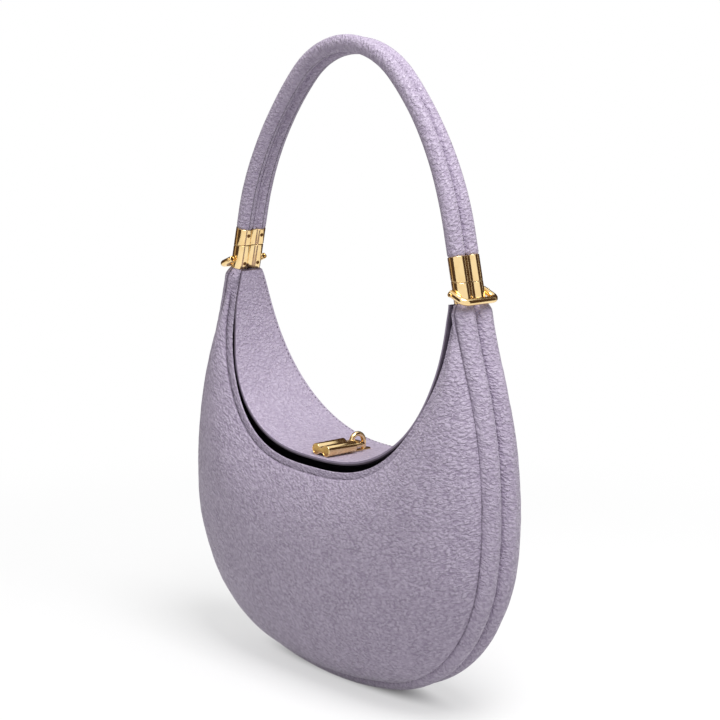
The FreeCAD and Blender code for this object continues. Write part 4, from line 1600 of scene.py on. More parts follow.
@dataclass
class Flap:
    """Crescent flap sewn along the rear rim, with a painted edge."""

    floor: float = 0.3
    thickness: float = 3.0
    edge_gap: float = 5.4
    horn_gap: float = 1.7
    gap_span: tuple[float, float] = (0.0, 0.4)
    horn_front: float = 10.3
    rear_overhang: float = 0.6
    front_lift: float = 1.2
    rear_drop: float = 1.0
    crown: float = 0.06
    front_curl: float = 0.8
    fold_start: tuple[float, float, float] = (0.0, FOLD_BACK * 0.173, FOLD_UP * 0.173)
    fold_end: tuple[float, float, float] = (0.0, FOLD_BACK * 0.153, FOLD_UP * 0.153)
    curl_share: float = 0.09
    edge_soft: float = 0.35
    edge_share: float = 0.012
    edge_middle: float = 0.55
    reach: float = 0.985
    under_reach: float = 0.985
    under_steps: int = 12
    cut_length: float = 450.0
    cut_fill: float = 0.75
    stations: int = 300
    steps: int = 60
    piece: Optional[bpy.types.Object] = None

    def top_point(self, share: np.ndarray, across: np.ndarray, lift: float) -> np.ndarray:
        """Points over the flap.

        Args:
            share: places along the rim, from -1 to 1.
            across: places from 0 at the front edge to 1 at the rear edge.
            lift: height above the flap's upper face.

        Returns:
            Points in millimetres.
        """
        front, rear = self.depths(share)
        line = self._between(share, across)
        ahead = self._between(share + RIM_STEP, across) - self._between(share - RIM_STEP, across)
        normal = left_of(unit(ahead))
        curl = self.front_curl * (1 - ease(across, 0.0, self.curl_share))
        bend = (self.front_lift - (self.front_lift + self.rear_drop) * across
                + self.crown * np.sin(math.pi * across) + curl)
        level = self.floor + self.thickness + lift + bend * LINES.fall(line[:, 1])
        y = -front + (front + rear) * across
        return stacked(line[:, 0], y, line[:, 1]) + normal * np.reshape(level, (-1, 1))

    @staticmethod
    def _between(share: np.ndarray, across: np.ndarray) -> np.ndarray:
        """Points between the flap's front line and the rear rim, in the XZ plane."""
        part = np.reshape(across, (-1, 1))
        return LINES.flap_rim(share) * (1 - part) + LINES.rear_rim(share) * part

    def depths(self, share: np.ndarray) -> tuple[np.ndarray, np.ndarray]:
        """Depth of the flap's front and rear edges from the middle plane.

        Args:
            share: places along the rim, from -1 to 1.

        Returns:
            Depths to the front and to the back.
        """
        height = LINES.flap_rim(share)[:, 1]
        gap = self.horn_gap + (self.edge_gap - self.horn_gap) * ease(LINES.fall(height), *self.gap_span)
        front = held_above(LINES.depth(height) - gap, self.horn_front)
        return front, LINES.depth(LINES.rear_rim(share)[:, 1]) + self.rear_overhang

    def build(self, finishes: Finishes) -> None:
        """Make the sheet and paint its edges.

        Args:
            finishes: materials.
        """
        share = np.linspace(-self.reach, self.reach, self.stations)
        levels = []
        for place in np.linspace(0, 1, self.steps):
            rounded = ease(np.array(min(place, 1 - place)), 0.0, self.edge_share)
            levels.append((place, -float(self.edge_soft * (1 - rounded))))
        edge, low = -self.edge_middle * self.thickness, -self.thickness + self.edge_soft
        under = np.linspace(self.under_reach, 1 - self.under_reach, self.under_steps)
        levels += [(1.0, edge), (1.0, low)] + [(place, -self.thickness) for place in under]
        levels += [(0.0, low), (0.0, edge)]
        rows = [self.top_point(share, np.full_like(share, place), lift) for place, lift in levels]
        self.piece = piece("flap_leather_sheet", *loft(np.stack(rows, axis=1)), finishes.flap, sharp=50)
        self._paint_edges(finishes)

    def _paint_edges(self, finishes: Finishes) -> None:
        """Give the upper half of the cut edges the edge paint, and their lower half, the ends and the
        underside a dark copy of it that is painted shade.

        Args:
            finishes: materials.
        """
        mesh = self.piece.data
        # Slot 1 is the edge paint, slot 2 its dark copy, painted shade.
        mesh.materials.append(finishes.edge_light)
        mesh.materials.append(finishes.shaded_edge_paint)
        columns = self.steps + self.under_steps + 4
        for face in mesh.polygons:
            spots = sorted(vertex % columns for vertex in face.vertices)
            if len(spots) != 4:
                face.material_index = 2
            elif spots[0] == 0 and spots[-1] == columns - 1 or spots[0] == spots[1] == self.steps - 1:
                face.material_index = 1
            elif spots[0] >= self.steps:
                face.material_index = 2

    def dress(self) -> None:
        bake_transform(self.piece)
        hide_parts("flap_tongue", "flap_surround")
        LOG.info("%s bends with the flap", self.piece.name)


@dataclass
class Lining:
    """Cloth lining: a front, a back and a strip between them."""

    drop: float = 10.0
    inset: float = 3.4
    thickness: float = 0.8
    half_width: float = 14.0
    reach: float = 0.86
    wall_gap: float = 1.0
    strip_gap: float = 0.4
    fullness: float = 0.8
    stations: int = 120
    steps: int = 30
    cuts: tuple[tuple[str, str, float, float], ...] = (
        ("lining_front", "front_panel", 330.0, 0.7), ("lining_back", "back_panel", 330.0, 0.7),
        ("lining_gusset", "gusset_roll_front", 645.0, 1.0))
    pieces: list[bpy.types.Object] = field(default_factory=list)

    def build(self, finishes: Finishes) -> None:
        """Make the two walls and the strip.

        Args:
            finishes: materials.
        """
        share = np.linspace(-self.reach, self.reach, self.stations)
        low = LINES.roll_line(share)
        for end in End:
            self.pieces.append(self._wall(end, low, LINES.rim(end, share), finishes))
        self.pieces.append(self._strip(low, finishes))

    def _wall(self, end: End, low: np.ndarray, rim: np.ndarray, finishes: Finishes) -> bpy.types.Object:
        """One wall of the lining.

        Args:
            end: front or back.
            low: points of the roll centre line, station by station.
            rim: points of the panel's rim.
            finishes: materials.

        Returns:
            The wall.
        """
        chord = rim - low
        reach = np.linalg.norm(chord, axis=1)
        ahead = chord / reach[:, None]
        edge = LINES.depth(rim[:, 1]) - self.inset
        start = LINES.roll_radius + self.wall_gap
        rows = []
        for back in (0.0, self.thickness):
            wall = []
            for place in np.linspace(0, 1, self.steps):
                along = start + (reach - self.drop - start) * place
                swell = math.sin(place * math.pi / 2) ** self.fullness
                depth = self.half_width - back + (edge - self.half_width) * swell
                wall.append(stacked(low[:, 0] + ahead[:, 0] * along, end.value * depth,
                                    low[:, 1] + ahead[:, 1] * along))
            rows += wall if back == 0.0 else wall[::-1]
        return piece("lining_wall_" + end.name.lower(), *loft(np.stack(rows, axis=1)), finishes.lining)

    def _strip(self, low: np.ndarray, finishes: Finishes) -> bpy.types.Object:
        """Strip of lining over the rolls.

        Args:
            low: points of the roll centre line, station by station.
            finishes: materials.

        Returns:
            The strip.
        """
        inward = left_of(headings(low))
        start, half = LINES.roll_radius + self.strip_gap, self.half_width
        top = start + self.thickness
        section = ((start, -half), (start, 0.0), (start, half), (top, half), (top, 0.0), (top, -half))
        rows = [stacked(low[:, 0], across, low[:, 1]) + inward * depth for depth, across in section]
        return piece("lining_strip", *loft(np.stack(rows, axis=1)), finishes.lining)

    def dress(self) -> None:
        """Seat the lining."""
        for thing, (node, neighbour, length, fill) in zip(self.pieces, self.cuts):
            seat(thing, "bag", "lining_cloth", node)


# Geometry nodes for what repeats


def new_geometry_tree(name: str, sizes: dict[str, float]
                      ) -> tuple[bpy.types.NodeTree, Wiring, bpy.types.Node, bpy.types.Node]:
    """Empty geometry tree with a geometry, some sizes and a finish as its inputs.

    Args:
        name: name of the tree.
        sizes: default of each size, in metres.

    Returns:
        The tree, its wiring, its input node and its output node.
    """
    tree = bpy.data.node_groups.new(name, "GeometryNodeTree")
    tree.interface.new_socket(name="Geometry", in_out="INPUT", socket_type="NodeSocketGeometry")
    for label, default in sizes.items():
        socket = tree.interface.new_socket(name=label, in_out="INPUT", socket_type=NUMBER)
        socket.default_value = default
    tree.interface.new_socket(name="Finish", in_out="INPUT", socket_type="NodeSocketMaterial")
    tree.interface.new_socket(name="Geometry", in_out="OUTPUT", socket_type="NodeSocketGeometry")
    return tree, Wiring(tree), tree.nodes.new("NodeGroupInput"), tree.nodes.new("NodeGroupOutput")


def grown(name: str, points: np.ndarray, edges: list, tree: bpy.types.NodeTree,
          sizes: dict[str, object]) -> bpy.types.Object:
    """Run a geometry tree on a guide and keep the result as a plain mesh.

    Args:
        name: name of the piece.
        points: points of the guide in millimetres.
        edges: pairs of point numbers that the guide joins.
        tree: the geometry tree.
        sizes: value of each named input.

    Returns:
        The new piece.
    """
    guide_mesh = bpy.data.meshes.new(name + "_guide")
    guide_mesh.from_pydata((points * MM).tolist(), edges, [])
    guide = linked(name + "_guide", guide_mesh)
    modifier = guide.modifiers.new("repeat", "NODES")
    modifier.node_group = tree
    for item in tree.interface.items_tree:
        if item.in_out == "INPUT" and item.name in sizes:
            modifier[item.identifier] = sizes[item.name]
    depsgraph = bpy.context.evaluated_depsgraph_get()
    mesh = bpy.data.meshes.new_from_object(guide.evaluated_get(depsgraph))
    bpy.data.objects.remove(guide)
    return linked(name, mesh)


def screw_tree() -> bpy.types.NodeTree:
    """Slotted screw head on each point, turned at random.

    Returns:
        The geometry nodes.
    """
    head_points, slot_reach, slot_level, seed = 24, 0.01, 0.6, 4
    tree, wires, entry, out = new_geometry_tree(
        "slotted_screws", {"Radius": 0.001, "Height": 0.0005, "Slot": 0.0004})
    tree.interface.new_socket(name="Facing", in_out="INPUT", socket_type=VECTOR)
    head = wires.node("GeometryNodeMeshCylinder", Vertices=head_points, Radius=entry.outputs["Radius"],
                      Depth=entry.outputs["Height"])
    extent = wires.node("ShaderNodeCombineXYZ", X=slot_reach, Y=entry.outputs["Slot"],
                        Z=entry.outputs["Slot"])
    block = wires.node("GeometryNodeMeshCube", Size=extent.outputs[0])
    rise = wires.node("ShaderNodeCombineXYZ", Z=wires.sum("MULTIPLY", entry.outputs["Height"], slot_level))
    raised = wires.node("GeometryNodeTransform", Geometry=block.outputs[0], Translation=rise.outputs[0])
    slotted = wires.node("GeometryNodeMeshBoolean", {"operation": "DIFFERENCE", "solver": "EXACT"})
    wires.feed(slotted.inputs[0], head.outputs[0])
    wires.feed(slotted.inputs[1], raised.outputs[0])
    aim = wires.node("FunctionNodeAlignRotationToVector", {"axis": "Z"}, Vector=entry.outputs["Facing"])
    points = wires.node("GeometryNodeMeshToPoints", Mesh=entry.outputs["Geometry"])
    heads = wires.node("GeometryNodeInstanceOnPoints", Points=points.outputs[0], Instance=slotted.outputs[0],
                       Rotation=aim.outputs[0])
    chance = wires.node("FunctionNodeRandomValue", {"data_type": "FLOAT"}, Seed=seed)
    chance.inputs[3].default_value = math.pi
    twist = wires.node("ShaderNodeCombineXYZ", Z=chance.outputs[1])
    turned = wires.node("GeometryNodeRotateInstances", Instances=heads.outputs[0], Rotation=twist.outputs[0])
    real = wires.node("GeometryNodeRealizeInstances", Geometry=turned.outputs[0])
    finish = wires.node("GeometryNodeSetMaterial", Geometry=real.outputs[0], Material=entry.outputs["Finish"])
    wires.feed(out.inputs["Geometry"], finish.outputs[0])
    return tree


# Gold fittings


@dataclass
class Ferrules:
    """Two-lobed gold sleeves, two to a side, with their clamp screws."""

    lobe: float = 6.2
    pitch: float = 6.25
    blend: float = 6.8
    wall: float = 0.9
    seam: float = 0.3
    seam_heights: dict[Side, float] = field(default_factory=lambda: {Side.LEFT: 17.4, Side.RIGHT: 14.4})
    seam_slope: float = 14.0
    lip: float = 0.4
    lip_steps: int = 7
    inner_reach: float = 3.0
    inner_bevel: float = 0.2
    screw_sink: float = 0.1
    screw_radius: float = 1.4
    screw_height: float = 0.5
    screw_slot: float = 0.4
    screw_inset: float = 4.5
    pieces: list[tuple[bpy.types.Object, str]] = field(default_factory=list)

    def build(self, finishes: Finishes) -> None:
        """Make the four sleeves and their screws.

        Args:
            finishes: materials.
        """
        levels = {"strap": LINES.ferrule_length - self.screw_inset, "roll": self.screw_inset}
        tree = screw_tree()
        for side in Side:
            word = side.name.lower()
            for half in ("lower", "upper"):
                sleeve = self._sleeve("ferrule_%s_%s_gold" % (half, word), side, half == "upper", finishes)
                self.pieces.append((sleeve, "ferrule_%s_%s" % (half, word)))
            for kind, level in levels.items():
                screws = self._screws("%s_screws_%s_slotted" % (kind, word), side, level, tree, finishes)
                self.pieces.append((screws, "%s_screws_%s" % (kind, word)))

    def _sleeve(self, name: str, side: Side, upper: bool, finishes: Finishes) -> bpy.types.Object:
        """One sleeve with rounded lips, from an end of the ferrule to its sloping seam.

        Args:
            name: name of the piece.
            side: which ferrule.
            upper: whether it is the half towards the strap.
            finishes: materials.

        Returns:
            The sleeve.
        """
        wall, bevel = self.wall, self.inner_bevel
        profile = [(self.inner_reach, wall), (bevel, wall), (0.0, wall - bevel)]
        profile += rounding(self.lip, self.lip_steps)
        slope = math.tan(math.radians(self.seam_slope))
        rings = []
        for low, rows in ((True, profile), (False, profile[::-1])):
            for back, inset in rows:
                outline = two_lobes(self.lobe, self.pitch, self.blend, inset)
                across, along = outline[:, 1], outline[:, 0]
                if low == upper:
                    gap = self.seam / 2 + back
                    z = self.seam_heights[side] - across * slope + (gap if upper else -gap)
                else:
                    z = LINES.ferrule_length - back if upper else back
                rings.append(stacked(across, along, z))
        points, faces = loft(np.array(rings))
        return piece(name, placed(points, LINES.ferrule_frame(side, 0.0)), faces, finishes.gold, sharp=50)

    def _screws(self, name: str, side: Side, level: float, tree: bpy.types.NodeTree,
                finishes: Finishes) -> bpy.types.Object:
        """Two slotted screw heads on the mouth side.

        Args:
            name: name of the piece.
            side: which ferrule.
            level: height of the screws on the ferrule.
            tree: the screw nodes.
            finishes: materials.

        Returns:
            The screws.
        """
        base = LINES.ferrule_frame(side, level)
        spots = np.array([base @ Vector((-self.lobe + self.screw_sink, sign * self.pitch, 0))
                          for sign in (-1, 1)])
        facing = base.to_3x3() @ Vector((-1, 0, 0))
        sizes = {"Radius": self.screw_radius * MM, "Height": self.screw_height * MM,
                 "Slot": self.screw_slot * MM, "Facing": facing, "Finish": finishes.bronze}
        return grown(name, spots, [], tree, sizes)

    def dress(self) -> None:
        """Seat the sleeves and screws on the bag."""
        for thing, node in self.pieces:
            seat(thing, "bag", "gold_metal", node)


@dataclass
class SideRings:
    """U-shaped bars on the lower ferrules, with their pins."""

    bar: float = 2.4
    reach: float = 12.0
    corner: float = 4.0
    dip: float = 35.0
    arm: float = 15.2
    past_pivot: float = 2.3
    bar_edge: float = 0.6
    end_dimple: float = 0.5
    pin: float = 1.5
    pin_head: float = 1.0
    pin_edge: float = 0.35
    pin_lift: float = 0.45
    pin_points: int = 32
    pivot_height: float = 6.5
    rings: dict[Side, bpy.types.Object] = field(default_factory=dict)
    pins: dict[Side, bpy.types.Object] = field(default_factory=dict)

    def build(self, finishes: Finishes) -> None:
        """Make both rings and their pins.

        Args:
            finishes: materials.
        """
        for side in Side:
            word = side.name.lower()
            base = LINES.ferrule_frame(side, self.pivot_height)
            dipped = base @ Matrix.Rotation(math.radians(self.dip), 4, "Y")
            line = bent_line([(-self.past_pivot, -self.arm, 0), (self.reach, -self.arm, 0),
                              (self.reach, self.arm, 0), (-self.past_pivot, self.arm, 0)], self.corner)
            points, faces = sweep(line, self.bar, self.bar_edge, self.end_dimple)
            self.rings[side] = piece("ring_%s_gold" % word, placed(points, dipped), faces, finishes.gold)
            heads, head_faces = np.empty((0, 3)), []
            for sign in (-1, 1):
                head, faces_here = self._pin_head()
                head_faces += [tuple(number + len(heads) for number in face) for face in faces_here]
                turn = Matrix.Translation((0, sign * (self.arm + self.bar + self.pin_lift), 0))
                heads = np.vstack([heads, placed(head, turn @ Matrix.Rotation(math.pi / 2, 4, "X"))])
            self.pins[side] = piece("ring_pins_%s_gold" % word, placed(heads, base), head_faces,
                                    finishes.gold)

    def _pin_head(self) -> tuple[np.ndarray, list]:
        """Head of a pin, a disc with rounded edges, centred, along Z.

        Returns:
            Points and faces.
        """
        around = np.linspace(0, 2 * math.pi, self.pin_points, endpoint=False)
        edge = self.pin_edge
        rows = [(self.pin - edge + edge * math.sin(t), -self.pin_head / 2 + edge - edge * math.cos(t))
                for t in np.linspace(0, math.pi / 2, END_STEPS)]
        rows += [(r, -z) for r, z in reversed(rows)]
        return loft(np.array([stacked(r * np.cos(around), r * np.sin(around), z) for r, z in rows]))

    def dress(self) -> None:
        """Seat the rings on their own bodies and the pins on the bag."""
        for side in Side:
            word = side.name.lower()
            seat(self.rings[side], word + "_ring", "gold_metal", "ring_" + word)
            seat(self.pins[side], "bag", "gold_metal", "ring_pins_" + word)


@dataclass
class PadlockPull:
    """Padlock of two barrels that hangs by its shackle in a staple on the flap."""

    barrel: float = 4.2
    pitch: float = 5.3
    waist: float = 3.4
    edge: float = 0.4
    end_rim: float = 0.75
    end_recess: float = 0.4
    shackle: float = 1.8
    shackle_bend: float = 2.6
    shackle_overlap: float = 1.0
    recess_draft: float = 0.1
    staple: float = 1.85
    staple_pitch: float = 6.0
    staple_steps: int = 25
    plate_bevel: tuple[tuple[float, float], ...] = ((0.0, 0.3), (0.1, 0.1), (0.35, 0.0))
    plate_points: int = 48
    pieces: list[tuple[bpy.types.Object, str, str]] = field(default_factory=list)

    def build(self, finishes: Finishes) -> None:
        """Make the padlock, its shackle, the staple and the plate.

        Args:
            finishes: materials.
        """
        low, high = box_mm("lock_body")
        height = (low[2] + high[2]) / 2
        body = self._body(low[1], high[1], height, finishes)
        hinge, foot = box_mm("lock_shackle")[1][1] - self.shackle, high[1] - self.shackle_overlap
        bar = bent_line([(-self.pitch, foot, height), (-self.pitch, hinge, height),
                         (self.pitch, hinge, height), (self.pitch, foot, height)], self.shackle_bend)
        shackle = piece("lock_shackle_gold", *sweep(bar, self.shackle), finishes.gold)
        self.pieces += [(body, "lock", "lock_body"), (shackle, "lock", "lock_shackle"),
                        (self._staple(finishes), "flap", "pull_staple"),
                        (self._plate(finishes), "flap", "pull_plate")]

    def _body(self, front: float, back: float, height: float, finishes: Finishes) -> bpy.types.Object:
        """Two barrels whose flat ends are recessed inside a narrow rim.

        Args:
            front: Y of the front end.
            back: Y of the back end.
            height: Z of the barrels' axes.
            finishes: materials.

        Returns:
            The barrels.
        """
        steps = [(self.end_recess, self.end_rim + self.recess_draft), (0.0, self.end_rim)]
        steps += rounding(self.edge, END_STEPS)
        rows = [(front + y, inset) for y, inset in steps]
        rows += [(back - y, inset) for y, inset in reversed(steps)]
        rings = []
        for y, inset in rows:
            outline = two_lobes(self.barrel, self.pitch, self.waist, inset)
            rings.append(stacked(outline[:, 0], y, height + outline[:, 1]))
        body = piece("lock_barrels", *loft(np.array(rings)), finishes.gold, sharp=35)
        body.data.materials.append(finishes.brushed_gold)
        for face in body.data.polygons:
            if len(face.vertices) > 4:
                face.material_index = 1
        return body

    def _staple(self, finishes: Finishes) -> bpy.types.Object:
        """Arch whose legs go through the plate and the flap.

        Args:
            finishes: materials.

        Returns:
            The staple.
        """
        low, high = box_mm("pull_staple")
        middle = (low[1] + high[1]) / 2
        centre = high[2] - self.staple - self.staple_pitch
        arch = [(0, middle - self.staple_pitch * math.cos(t), centre + self.staple_pitch * math.sin(t))
                for t in np.linspace(0, math.pi, self.staple_steps)]
        line = np.array([(0, middle - self.staple_pitch, low[2])] + arch
                        + [(0, middle + self.staple_pitch, low[2])])
        return piece("pull_staple_gold", *sweep(line, self.staple), finishes.gold)

    def _plate(self, finishes: Finishes) -> bpy.types.Object:
        """Thin plate with round ends and bevelled edges.

        Args:
            finishes: materials.

        Returns:
            The plate.
        """
        low, high = box_mm("pull_plate")
        radius = (high[0] - low[0]) / 2
        run = (high[1] - low[1]) / 2 - radius
        middle = (low[1] + high[1]) / 2
        around = np.linspace(0, 2 * math.pi, self.plate_points, endpoint=False)
        rows = []
        for inset, z in [(0.0, low[2])] + [(inset, high[2] - drop) for inset, drop in self.plate_bevel]:
            x = (radius - inset) * np.cos(around)
            y = (radius - inset) * np.sin(around) + np.where(np.sin(around) >= 0, run, -run)
            rows.append(stacked(x, middle + y, z))
        return piece("pull_plate_gold", *loft(np.array(rows)), finishes.gold, sharp=35)

    def dress(self) -> None:
        """Seat the padlock and the staple on their bodies."""
        for thing, body, node in self.pieces:
            seat(thing, body, "gold_metal", node)


# Stitches


def stitch_tree() -> bpy.types.NodeTree:
    """Small bead at an even pitch along a line.

    Returns:
        The geometry nodes.
    """
    bead_segments, bead_rings, bead_radius = 8, 6, 0.5
    tree, wires, entry, out = new_geometry_tree(
        "stitch_row", {"Pitch": 0.0036, "Length": 0.0024, "Thickness": 0.0006})
    curve = wires.node("GeometryNodeMeshToCurve", Mesh=entry.outputs["Geometry"])
    spaced = wires.node("GeometryNodeResampleCurve", {"mode": "LENGTH"}, Curve=curve.outputs[0],
                        Length=entry.outputs["Pitch"])
    tangent = tree.nodes.new("GeometryNodeInputTangent")
    turn = wires.node("FunctionNodeAlignRotationToVector", {"axis": "X"}, Vector=tangent.outputs[0])
    bead = wires.node("GeometryNodeMeshUVSphere", Segments=bead_segments, Rings=bead_rings,
                      Radius=bead_radius)
    extent = wires.node("ShaderNodeCombineXYZ", X=entry.outputs["Length"], Y=entry.outputs["Thickness"],
                        Z=entry.outputs["Thickness"])
    beads = wires.node("GeometryNodeInstanceOnPoints", Points=spaced.outputs[0], Instance=bead.outputs[0],
                       Rotation=turn.outputs[0], Scale=extent.outputs[0])
    real = wires.node("GeometryNodeRealizeInstances", Geometry=beads.outputs[0])
    smooth = wires.node("GeometryNodeSetShadeSmooth", Geometry=real.outputs[0])
    finish = wires.node("GeometryNodeSetMaterial", Geometry=smooth.outputs[0],
                        Material=entry.outputs["Finish"])
    wires.feed(out.inputs["Geometry"], finish.outputs[0])
    return tree


@dataclass
class StitchRow:
    """One row of stitches, or of dark beads that are the painted shade in needle holes, along a line."""

    name: str
    line: np.ndarray
    pitch: float
    length: float
    thickness: float

    def build(self, tree: bpy.types.NodeTree, finish: bpy.types.Material) -> bpy.types.Object:
        """Run the stitch nodes along the line and keep the result as a mesh.

        Args:
            tree: the stitch nodes.
            finish: material of the row.

        Returns:
            The row.
        """
        edges = [(number, number + 1) for number in range(len(self.line) - 1)]
        sizes = {"Pitch": self.pitch * MM, "Length": self.length * MM, "Thickness": self.thickness * MM,
                 "Finish": finish}
        return grown(self.name, self.line, edges, tree, sizes)


@dataclass
class Stitching:
    """Rows of stitches on the flap and the facing."""

    pitch: float = 3.7
    thread_length: float = 2.4
    thread_thickness: float = 0.5
    hole_shade_length: float = 1.3
    hole_shade_thickness: float = 0.7
    rear_inset: float = 2.2
    rear_lift: float = 0.02
    facing_inset: float = 1.2
    reach: float = 0.955
    points: int = 420
    rows: list[bpy.types.Object] = field(default_factory=list)

    def build(self, flap: Flap, facing: Facing, finishes: Finishes) -> None:
        """Make thread and the painted shade of needle holes for each row.

        Args:
            flap: flap with a row along its rear edge.
            facing: facing with a row under its upper edge.
            finishes: materials.
        """
        tree = stitch_tree()
        share = np.linspace(-self.reach, self.reach, self.points)
        width = sum(flap.depths(share))
        lines = {"flap_rear_row": flap.top_point(share, 1 - self.rear_inset / width, self.rear_lift)}
        rim, normal, depth = facing.section(share)
        lines["facing_row"] = (stacked(rim[:, 0], 0, rim[:, 1]) + normal * (facing.rise - self.facing_inset)
                               - BACKWARD * (depth - facing.thickness)[:, None])
        for name, line in lines.items():
            self.rows.append(StitchRow(name + "_thread", line, self.pitch, self.thread_length,
                                       self.thread_thickness).build(tree, finishes.thread))
            shifted = line[distances(line) > self.pitch / 2]
            self.rows.append(StitchRow(name + "_holes", shifted, self.pitch, self.hole_shade_length,
                                       self.hole_shade_thickness).build(tree, finishes.hole))

    def dress(self, flap: Flap) -> None:
        """Ride the facing's rows on the bag, and bake the flap's rows where they lie.

        Args:
            flap: flap whose rows lie on it; not used.
        """
        for row in self.rows:
            if row.name.startswith("flap"):
                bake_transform(row)
            else:
                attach(row, "bag")
            LOG.info("%s: %d faces", row.name, len(row.data.polygons))


# Floor, light and camera


WHITE: Colour = (1.0, 1.0, 1.0, 1.0)
BLACK: Colour = (0.0, 0.0, 0.0, 1.0)
CARD_BROWN: Colour = (0.076, 0.048, 0.035, 1.0)
CARD_TAN: Colour = (0.5, 0.38, 0.24, 1.0)


@dataclass
class Studio:
    """White floor, soft light and a camera at the photograph's angle."""

    azimuth: float = 48.345
    elevation: float = 10.447
    roll: float = 0.22
    distance: float = 1.3
    target_height: float = 0.2352
    focal_pixels: float = 1810.7
    image_pixels: float = 720.0
    shift_pixels: float = 10.13
    sensor: float = 36.0
    ambient: float = 0.55
    bounce: float = 0.52
    key_place: tuple[float, float, float] = (0.57, -0.15, 1.615)
    key_extent: float = 0.8
    key_power: float = 22.5
    floor_reach: float = 6.0
    floor_white: float = 0.41
    floor_glow: float = 0.55
    # Painted contact shadow: floor colour, shape and reach of the strip round the footprint where the floor
    # has no glow.
    contact_shadow_albedo: float = 0.6
    contact_shadow_scale: tuple[float, float, float] = (0.2, 1.0, 1.0)
    contact_shadow_shift: tuple[float, float, float] = (0.0, -0.004, 0.0)
    contact_shadow_span: tuple[float, float] = (0.006, 0.022)
    white_span: tuple[float, float] = (0.3, 0.75)
    flag_distance: float = 0.9
    flag_height: float = 1.2
    flags: tuple[tuple[float, float, Colour], ...] = (
        (40.0, 0.56, CARD_BROWN), (85.0, 0.8, CARD_BROWN), (123.0, 0.5, CARD_BROWN),
        (175.0, 1.36, CARD_BROWN), (-110.0, 0.78, CARD_BROWN), (-140.5, 0.24, CARD_TAN))

    def build(self) -> None:
        """Set up everything that isn't the bag."""
        self._camera()
        self._world()
        self._floor()
        self._lamp("key", self.key_place, self.key_extent, self.key_power)
        for number, (bearing, width, colour) in enumerate(self.flags):
            self._flag("flag_%d" % number, bearing, width, colour)
        bpy.context.scene.view_settings.view_transform = "Standard"

    def _camera(self) -> None:
        """Camera of the photograph."""
        lens = bpy.data.cameras.new("camera")
        lens.sensor_width = self.sensor
        lens.lens = self.focal_pixels / self.image_pixels * self.sensor
        lens.shift_x = self.shift_pixels / self.image_pixels
        camera = linked("camera", lens)
        around, up = math.radians(self.azimuth), math.radians(self.elevation)
        target = Vector((0, 0, self.target_height))
        away = Vector((math.sin(around) * math.cos(up), -math.cos(around) * math.cos(up), math.sin(up)))
        camera.location = target + away * self.distance
        level = (-away).to_track_quat("-Z", "Y").to_matrix()
        camera.rotation_euler = (level @ Matrix.Rotation(math.radians(self.roll), 3, "Z")).to_euler()
        bpy.context.scene.camera = camera

    @staticmethod
    def _seen(wires: Wiring) -> bpy.types.NodeSocket:
        """1 for rays that show a surface to the camera or in a reflection."""
        rays = wires.node("ShaderNodeLightPath")
        return wires.sum("MAXIMUM", rays.outputs["Is Camera Ray"], rays.outputs["Is Glossy Ray"])

    @staticmethod
    def _quad(name: str, corners: Sequence, material: bpy.types.Material) -> bpy.types.Object:
        """Flat four-sided object that belongs to the staging.

        Args:
            name: name of the object.
            corners: its four corners in metres.
            material: its material.

        Returns:
            The object.
        """
        mesh = bpy.data.meshes.new(name)
        mesh.from_pydata(corners, [], [(0, 1, 2, 3)])
        mesh.materials.append(material)
        quad = linked(name, mesh)
        return quad

    def _world(self) -> None:
        """Even white surroundings."""
        world = bpy.data.worlds.new("studio")
        world.use_nodes = True
        wires = Wiring(world.node_tree)
        light = world.node_tree.nodes["Background"]
        rays = wires.node("ShaderNodeLightPath")
        seen = wires.sum("MAXIMUM", self._seen(wires), rays.outputs["Is Transmission Ray"])
        wires.fill(light, Color=WHITE,
                   Strength=wires.sum("MULTIPLY_ADD", seen, 1 - self.ambient, self.ambient))
        bpy.context.scene.world = world

    def _flag(self, name: str, bearing: float, width: float, colour: Colour) -> None:
        """Dark upright card that only reflections show, which gives the metal its dark bands.

        Args:
            name: name of the card.
            bearing: direction of the card from the bag, in degrees from +X.
            width: metres across.
            colour: what a reflection of the card shows.
        """
        turn = math.radians(bearing)
        out = Vector((math.cos(turn), math.sin(turn), 0))
        side = Vector((-math.sin(turn), math.cos(turn), 0)) * width / 2
        foot, up = out * self.flag_distance, Vector((0, 0, self.flag_height))
        material, wires, shader = new_material(name + "_card")
        wires.fill(shader, Base_Color=BLACK, Emission_Color=colour, Emission_Strength=1.0, Roughness=1.0,
                   Specular_IOR_Level=0.0)
        corners = [foot - side, foot + side, foot + side + up, foot - side + up]
        card = self._quad(name, corners, material)
        card.visible_camera = card.visible_diffuse = card.visible_shadow = False

    def _floor(self) -> None:
        """Wide floor that keeps the shadow and is white elsewhere; along the footprint it drops its glow, a
        painted contact shadow.
        """
        material, wires, shader = new_material("floor_white")
        place, seen = wires.place(), self._seen(wires)
        squeezed = wires.node("ShaderNodeMapping", Vector=place, Scale=self.contact_shadow_scale,
                              Location=self.contact_shadow_shift)
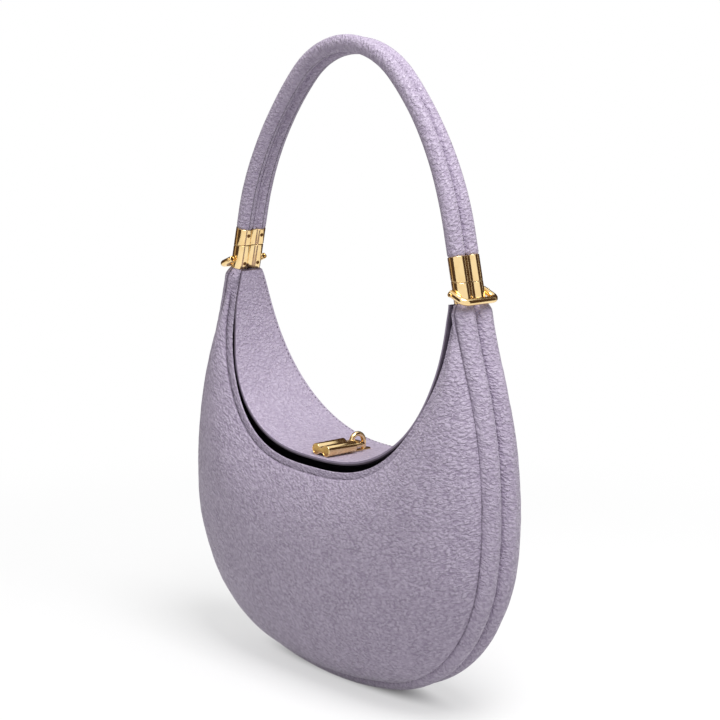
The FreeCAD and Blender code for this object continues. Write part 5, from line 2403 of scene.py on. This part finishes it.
        # 0 in the painted contact shadow round the footprint, 1 beyond it.
        past_contact_shadow = wires.step(wires.length(squeezed.outputs[0]), *self.contact_shadow_span)
        levels = (self.bounce, self.contact_shadow_albedo, self.floor_white)
        dull, contact_shadow_colour, away = ((level, level, level) for level in levels)
        lit = wires.sum("MULTIPLY", wires.sum("MULTIPLY", past_contact_shadow, seen), self.floor_glow)
        wires.fill(shader, Base_Color=wires.blend(seen, dull, wires.blend(past_contact_shadow, contact_shadow_colour, away)),
                   Roughness=1.0, Specular_IOR_Level=0.0, Emission_Color=WHITE, Emission_Strength=lit)
        far = wires.step(wires.length(place), *self.white_span)
        glow = wires.node("ShaderNodeEmission", Color=WHITE, Strength=1.0)
        mixed = wires.node("ShaderNodeMixShader")
        wires.feed(mixed.inputs[0], wires.sum("MULTIPLY", far, seen))
        wires.feed(mixed.inputs[1], shader.outputs[0])
        wires.feed(mixed.inputs[2], glow.outputs[0])
        wires.feed(material.node_tree.nodes["Material Output"].inputs["Surface"], mixed.outputs[0])
        reach = self.floor_reach
        self._quad("floor", [(-reach, -reach, 0), (reach, -reach, 0), (reach, reach, 0),
                             (-reach, reach, 0)], material)

    def _lamp(self, name: str, place: tuple[float, float, float], extent: float, power: float) -> None:
        """Square soft lamp that points at the bag.

        Args:
            name: name of the lamp.
            place: where it stands, in metres.
            extent: side of the square in metres.
            power: light power in watts.
        """
        light = bpy.data.lights.new(name, "AREA")
        light.shape = "SQUARE"
        light.size = extent
        light.energy = power
        lamp = linked(name, light)
        lamp.location = place
        aim = Vector((0, 0, self.target_height)) - Vector(place)
        lamp.rotation_euler = aim.to_track_quat("-Z", "Y").to_euler()


def dress_hidden_fittings(finishes: Finishes) -> None:
    """Give the plain inner fittings that stay as they are their steel.

    Args:
        finishes: materials.
    """
    for node in ("ferrule_dowels_left", "ferrule_dowels_right", "pull_back_plate"):
        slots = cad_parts[node].material_slots
        for slot in slots:
            slot.material = finishes.steel
        if not slots:
            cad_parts[node].data.materials.append(finishes.steel)


def main() -> None:
    """Build the bag, piece by piece, then the studio."""
    logging.basicConfig(level=logging.INFO, format="%(name)s: %(message)s")
    finishes = Finishes()
    flap, facing = Flap(), Facing()
    assemblies = [SideRolls(), Strap(), Panel(End.FRONT), Panel(End.BACK), facing, flap, Lining(),
                  Ferrules(), SideRings(), PadlockPull()]
    for assembly in assemblies:
        assembly.build(finishes)
        assembly.dress()
    stitching = Stitching()
    stitching.build(flap, facing, finishes)
    stitching.dress(flap)
    dress_hidden_fittings(finishes)
    Studio().build()


if __name__ == "__main__":
    main()
